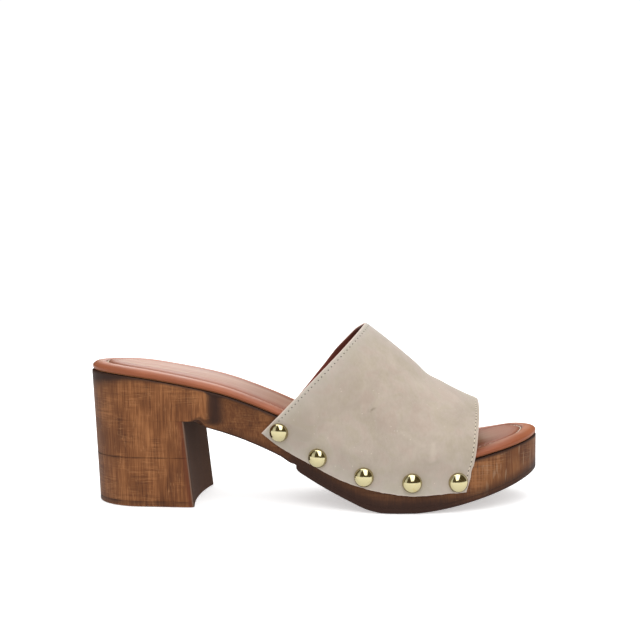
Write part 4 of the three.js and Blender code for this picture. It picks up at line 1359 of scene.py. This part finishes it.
def ball_card(start, end, distance=1.5, low=1.5, high=60.0):
    """Part of a ball round the shoe, between two turns from the lateral side."""
    angle = np.radians(np.linspace(start, end, 40))
    rise = np.radians(np.linspace(low, high, 16))[:, None]
    ball = [np.sin(angle) * np.cos(rise), -np.cos(angle) * np.cos(rise), np.sin(rise) + 0 * angle]
    return distance * np.stack(ball, -1)


def make_world(scene):
    world = bpy.data.worlds.new("studio")
    world.use_nodes = True
    world.node_tree.nodes.clear()
    nodes = Nodes(world.node_tree)
    direction = nodes.node("ShaderNodeTexCoord", output="Generated")
    height = nodes.node("ShaderNodeSeparateXYZ", None, {"Vector": direction}, output="Z")
    strength = 0.72 + 0.34 * height.ramp(-0.16, -0.06) - 0.4 * height.ramp(0.28, 0.7)
    sky = nodes.node("ShaderNodeBackground", None, {"Color": (1.0, 1.0, 1.0), "Strength": strength})
    nodes.node("ShaderNodeOutputWorld", None, {"Surface": sky})
    scene.world = world


def make_stage(scene):
    scene.view_settings.view_transform = "Standard"
    scene.view_settings.look = "None"
    make_floor()
    dark = card_finish("dark_card", (0.12, 0.09, 0.04), 0.0)
    white = card_finish("white_card", (0.8, 0.8, 0.8), 3.0)
    sheet = np.array([[(-0.02, -1.0, 0.33), (0.36, -1.0, 0.33)], [(-0.22, 0.1, 1.05), (0.5, 0.1, 1.05)]])
    for name, first, turn in (("front", -42, 1), ("back", 138, -1)):
        make_card(name + "_dark_card", ball_card(first, first + 147), dark)
        make_card(name + "_white_card", sheet * (turn, turn, 1), white)
    make_world(scene)
    area_light(scene, "softbox", (0.1, -0.62, 0.78), (0.0, 0.0, 0.03), 0.62, 1.1, 4.2)
    area_light(scene, "back_softbox", (-0.1, 0.62, 0.78), (0.0, 0.0, 0.03), 0.62, 1.1, 3.2)
    make_camera(scene)


# Operators

class PieceOperator:
    bl_options = {"REGISTER", "UNDO"}

    def execute(self, context):
        self.make(Form(context.scene.mule_sizes), context.scene.mule_colours)
        return {"FINISHED"}


def piece_operator(name, label, text, make):
    """An operator class that makes one piece or one group of like pieces."""
    return type("MULE_OT_" + name, (PieceOperator, bpy.types.Operator), {
        "bl_idname": "mule." + name, "bl_label": label, "__doc__": text, "make": staticmethod(make)})


OPERATORS = (
    piece_operator("platform", "Platform", "Carved wooden platform with a burnished rim", make_platform),
    piece_operator("outsole", "Outsole", "Ribbed rubber under the forefoot", make_outsole),
    piece_operator("heel", "Heel", "Two wooden layers and a rubber top piece", make_heel),
    piece_operator("insole", "Insole", "Padded leather sock with a stitched groove", make_insole),
    piece_operator("upper", "Upper", "Suede band with its lining, cut edges and seams", make_upper),
    piece_operator("studs", "Studs", "Domed brass nails along both sides", make_studs),
)


class MULE_OT_stage(bpy.types.Operator):
    """Floor, cards, lights and camera"""

    bl_idname = "mule.stage"
    bl_label = "Stage"

    def execute(self, context):
        make_stage(context.scene)
        return {"FINISHED"}


class MULE_PT_panel(bpy.types.Panel):
    """Sizes, colours and makers of the mule"""

    bl_idname = "MULE_PT_panel"
    bl_label = "Mule"
    bl_space_type = "VIEW_3D"
    bl_region_type = "UI"
    bl_category = "Mule"

    def draw(self, context):
        for group in (context.scene.mule_sizes, context.scene.mule_colours):
            column = self.layout.column(align=True)
            for name in group.__annotations__:
                column.prop(group, name)
        for operator in (*OPERATORS, MULE_OT_stage):
            self.layout.operator(operator.bl_idname)


CLASSES = (MuleSizes, MuleColours, *OPERATORS, MULE_OT_stage, MULE_PT_panel)


def register():
    for item in CLASSES:
        bpy.utils.register_class(item)
    bpy.types.Scene.mule_sizes = bpy.props.PointerProperty(type=MuleSizes)
    bpy.types.Scene.mule_colours = bpy.props.PointerProperty(type=MuleColours)


def unregister():
    del bpy.types.Scene.mule_colours
    del bpy.types.Scene.mule_sizes
    for item in reversed(CLASSES):
        bpy.utils.unregister_class(item)


def corners(bounds):
    return [list(corner) for corner in bounds]


def main():
    solids = corners(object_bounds())
    register()
    rubber_finish(bpy.context.scene.mule_colours)
    bpy.ops.mule.stage()
    bpy.ops.mule.platform()
    bpy.ops.mule.heel()
    bpy.ops.mule.outsole()
    bpy.ops.mule.insole()
    bpy.ops.mule.upper()
    bpy.ops.mule.studs()
    {"cad": solids, "visual": corners(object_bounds())}


if __name__ == "__main__":
    main()
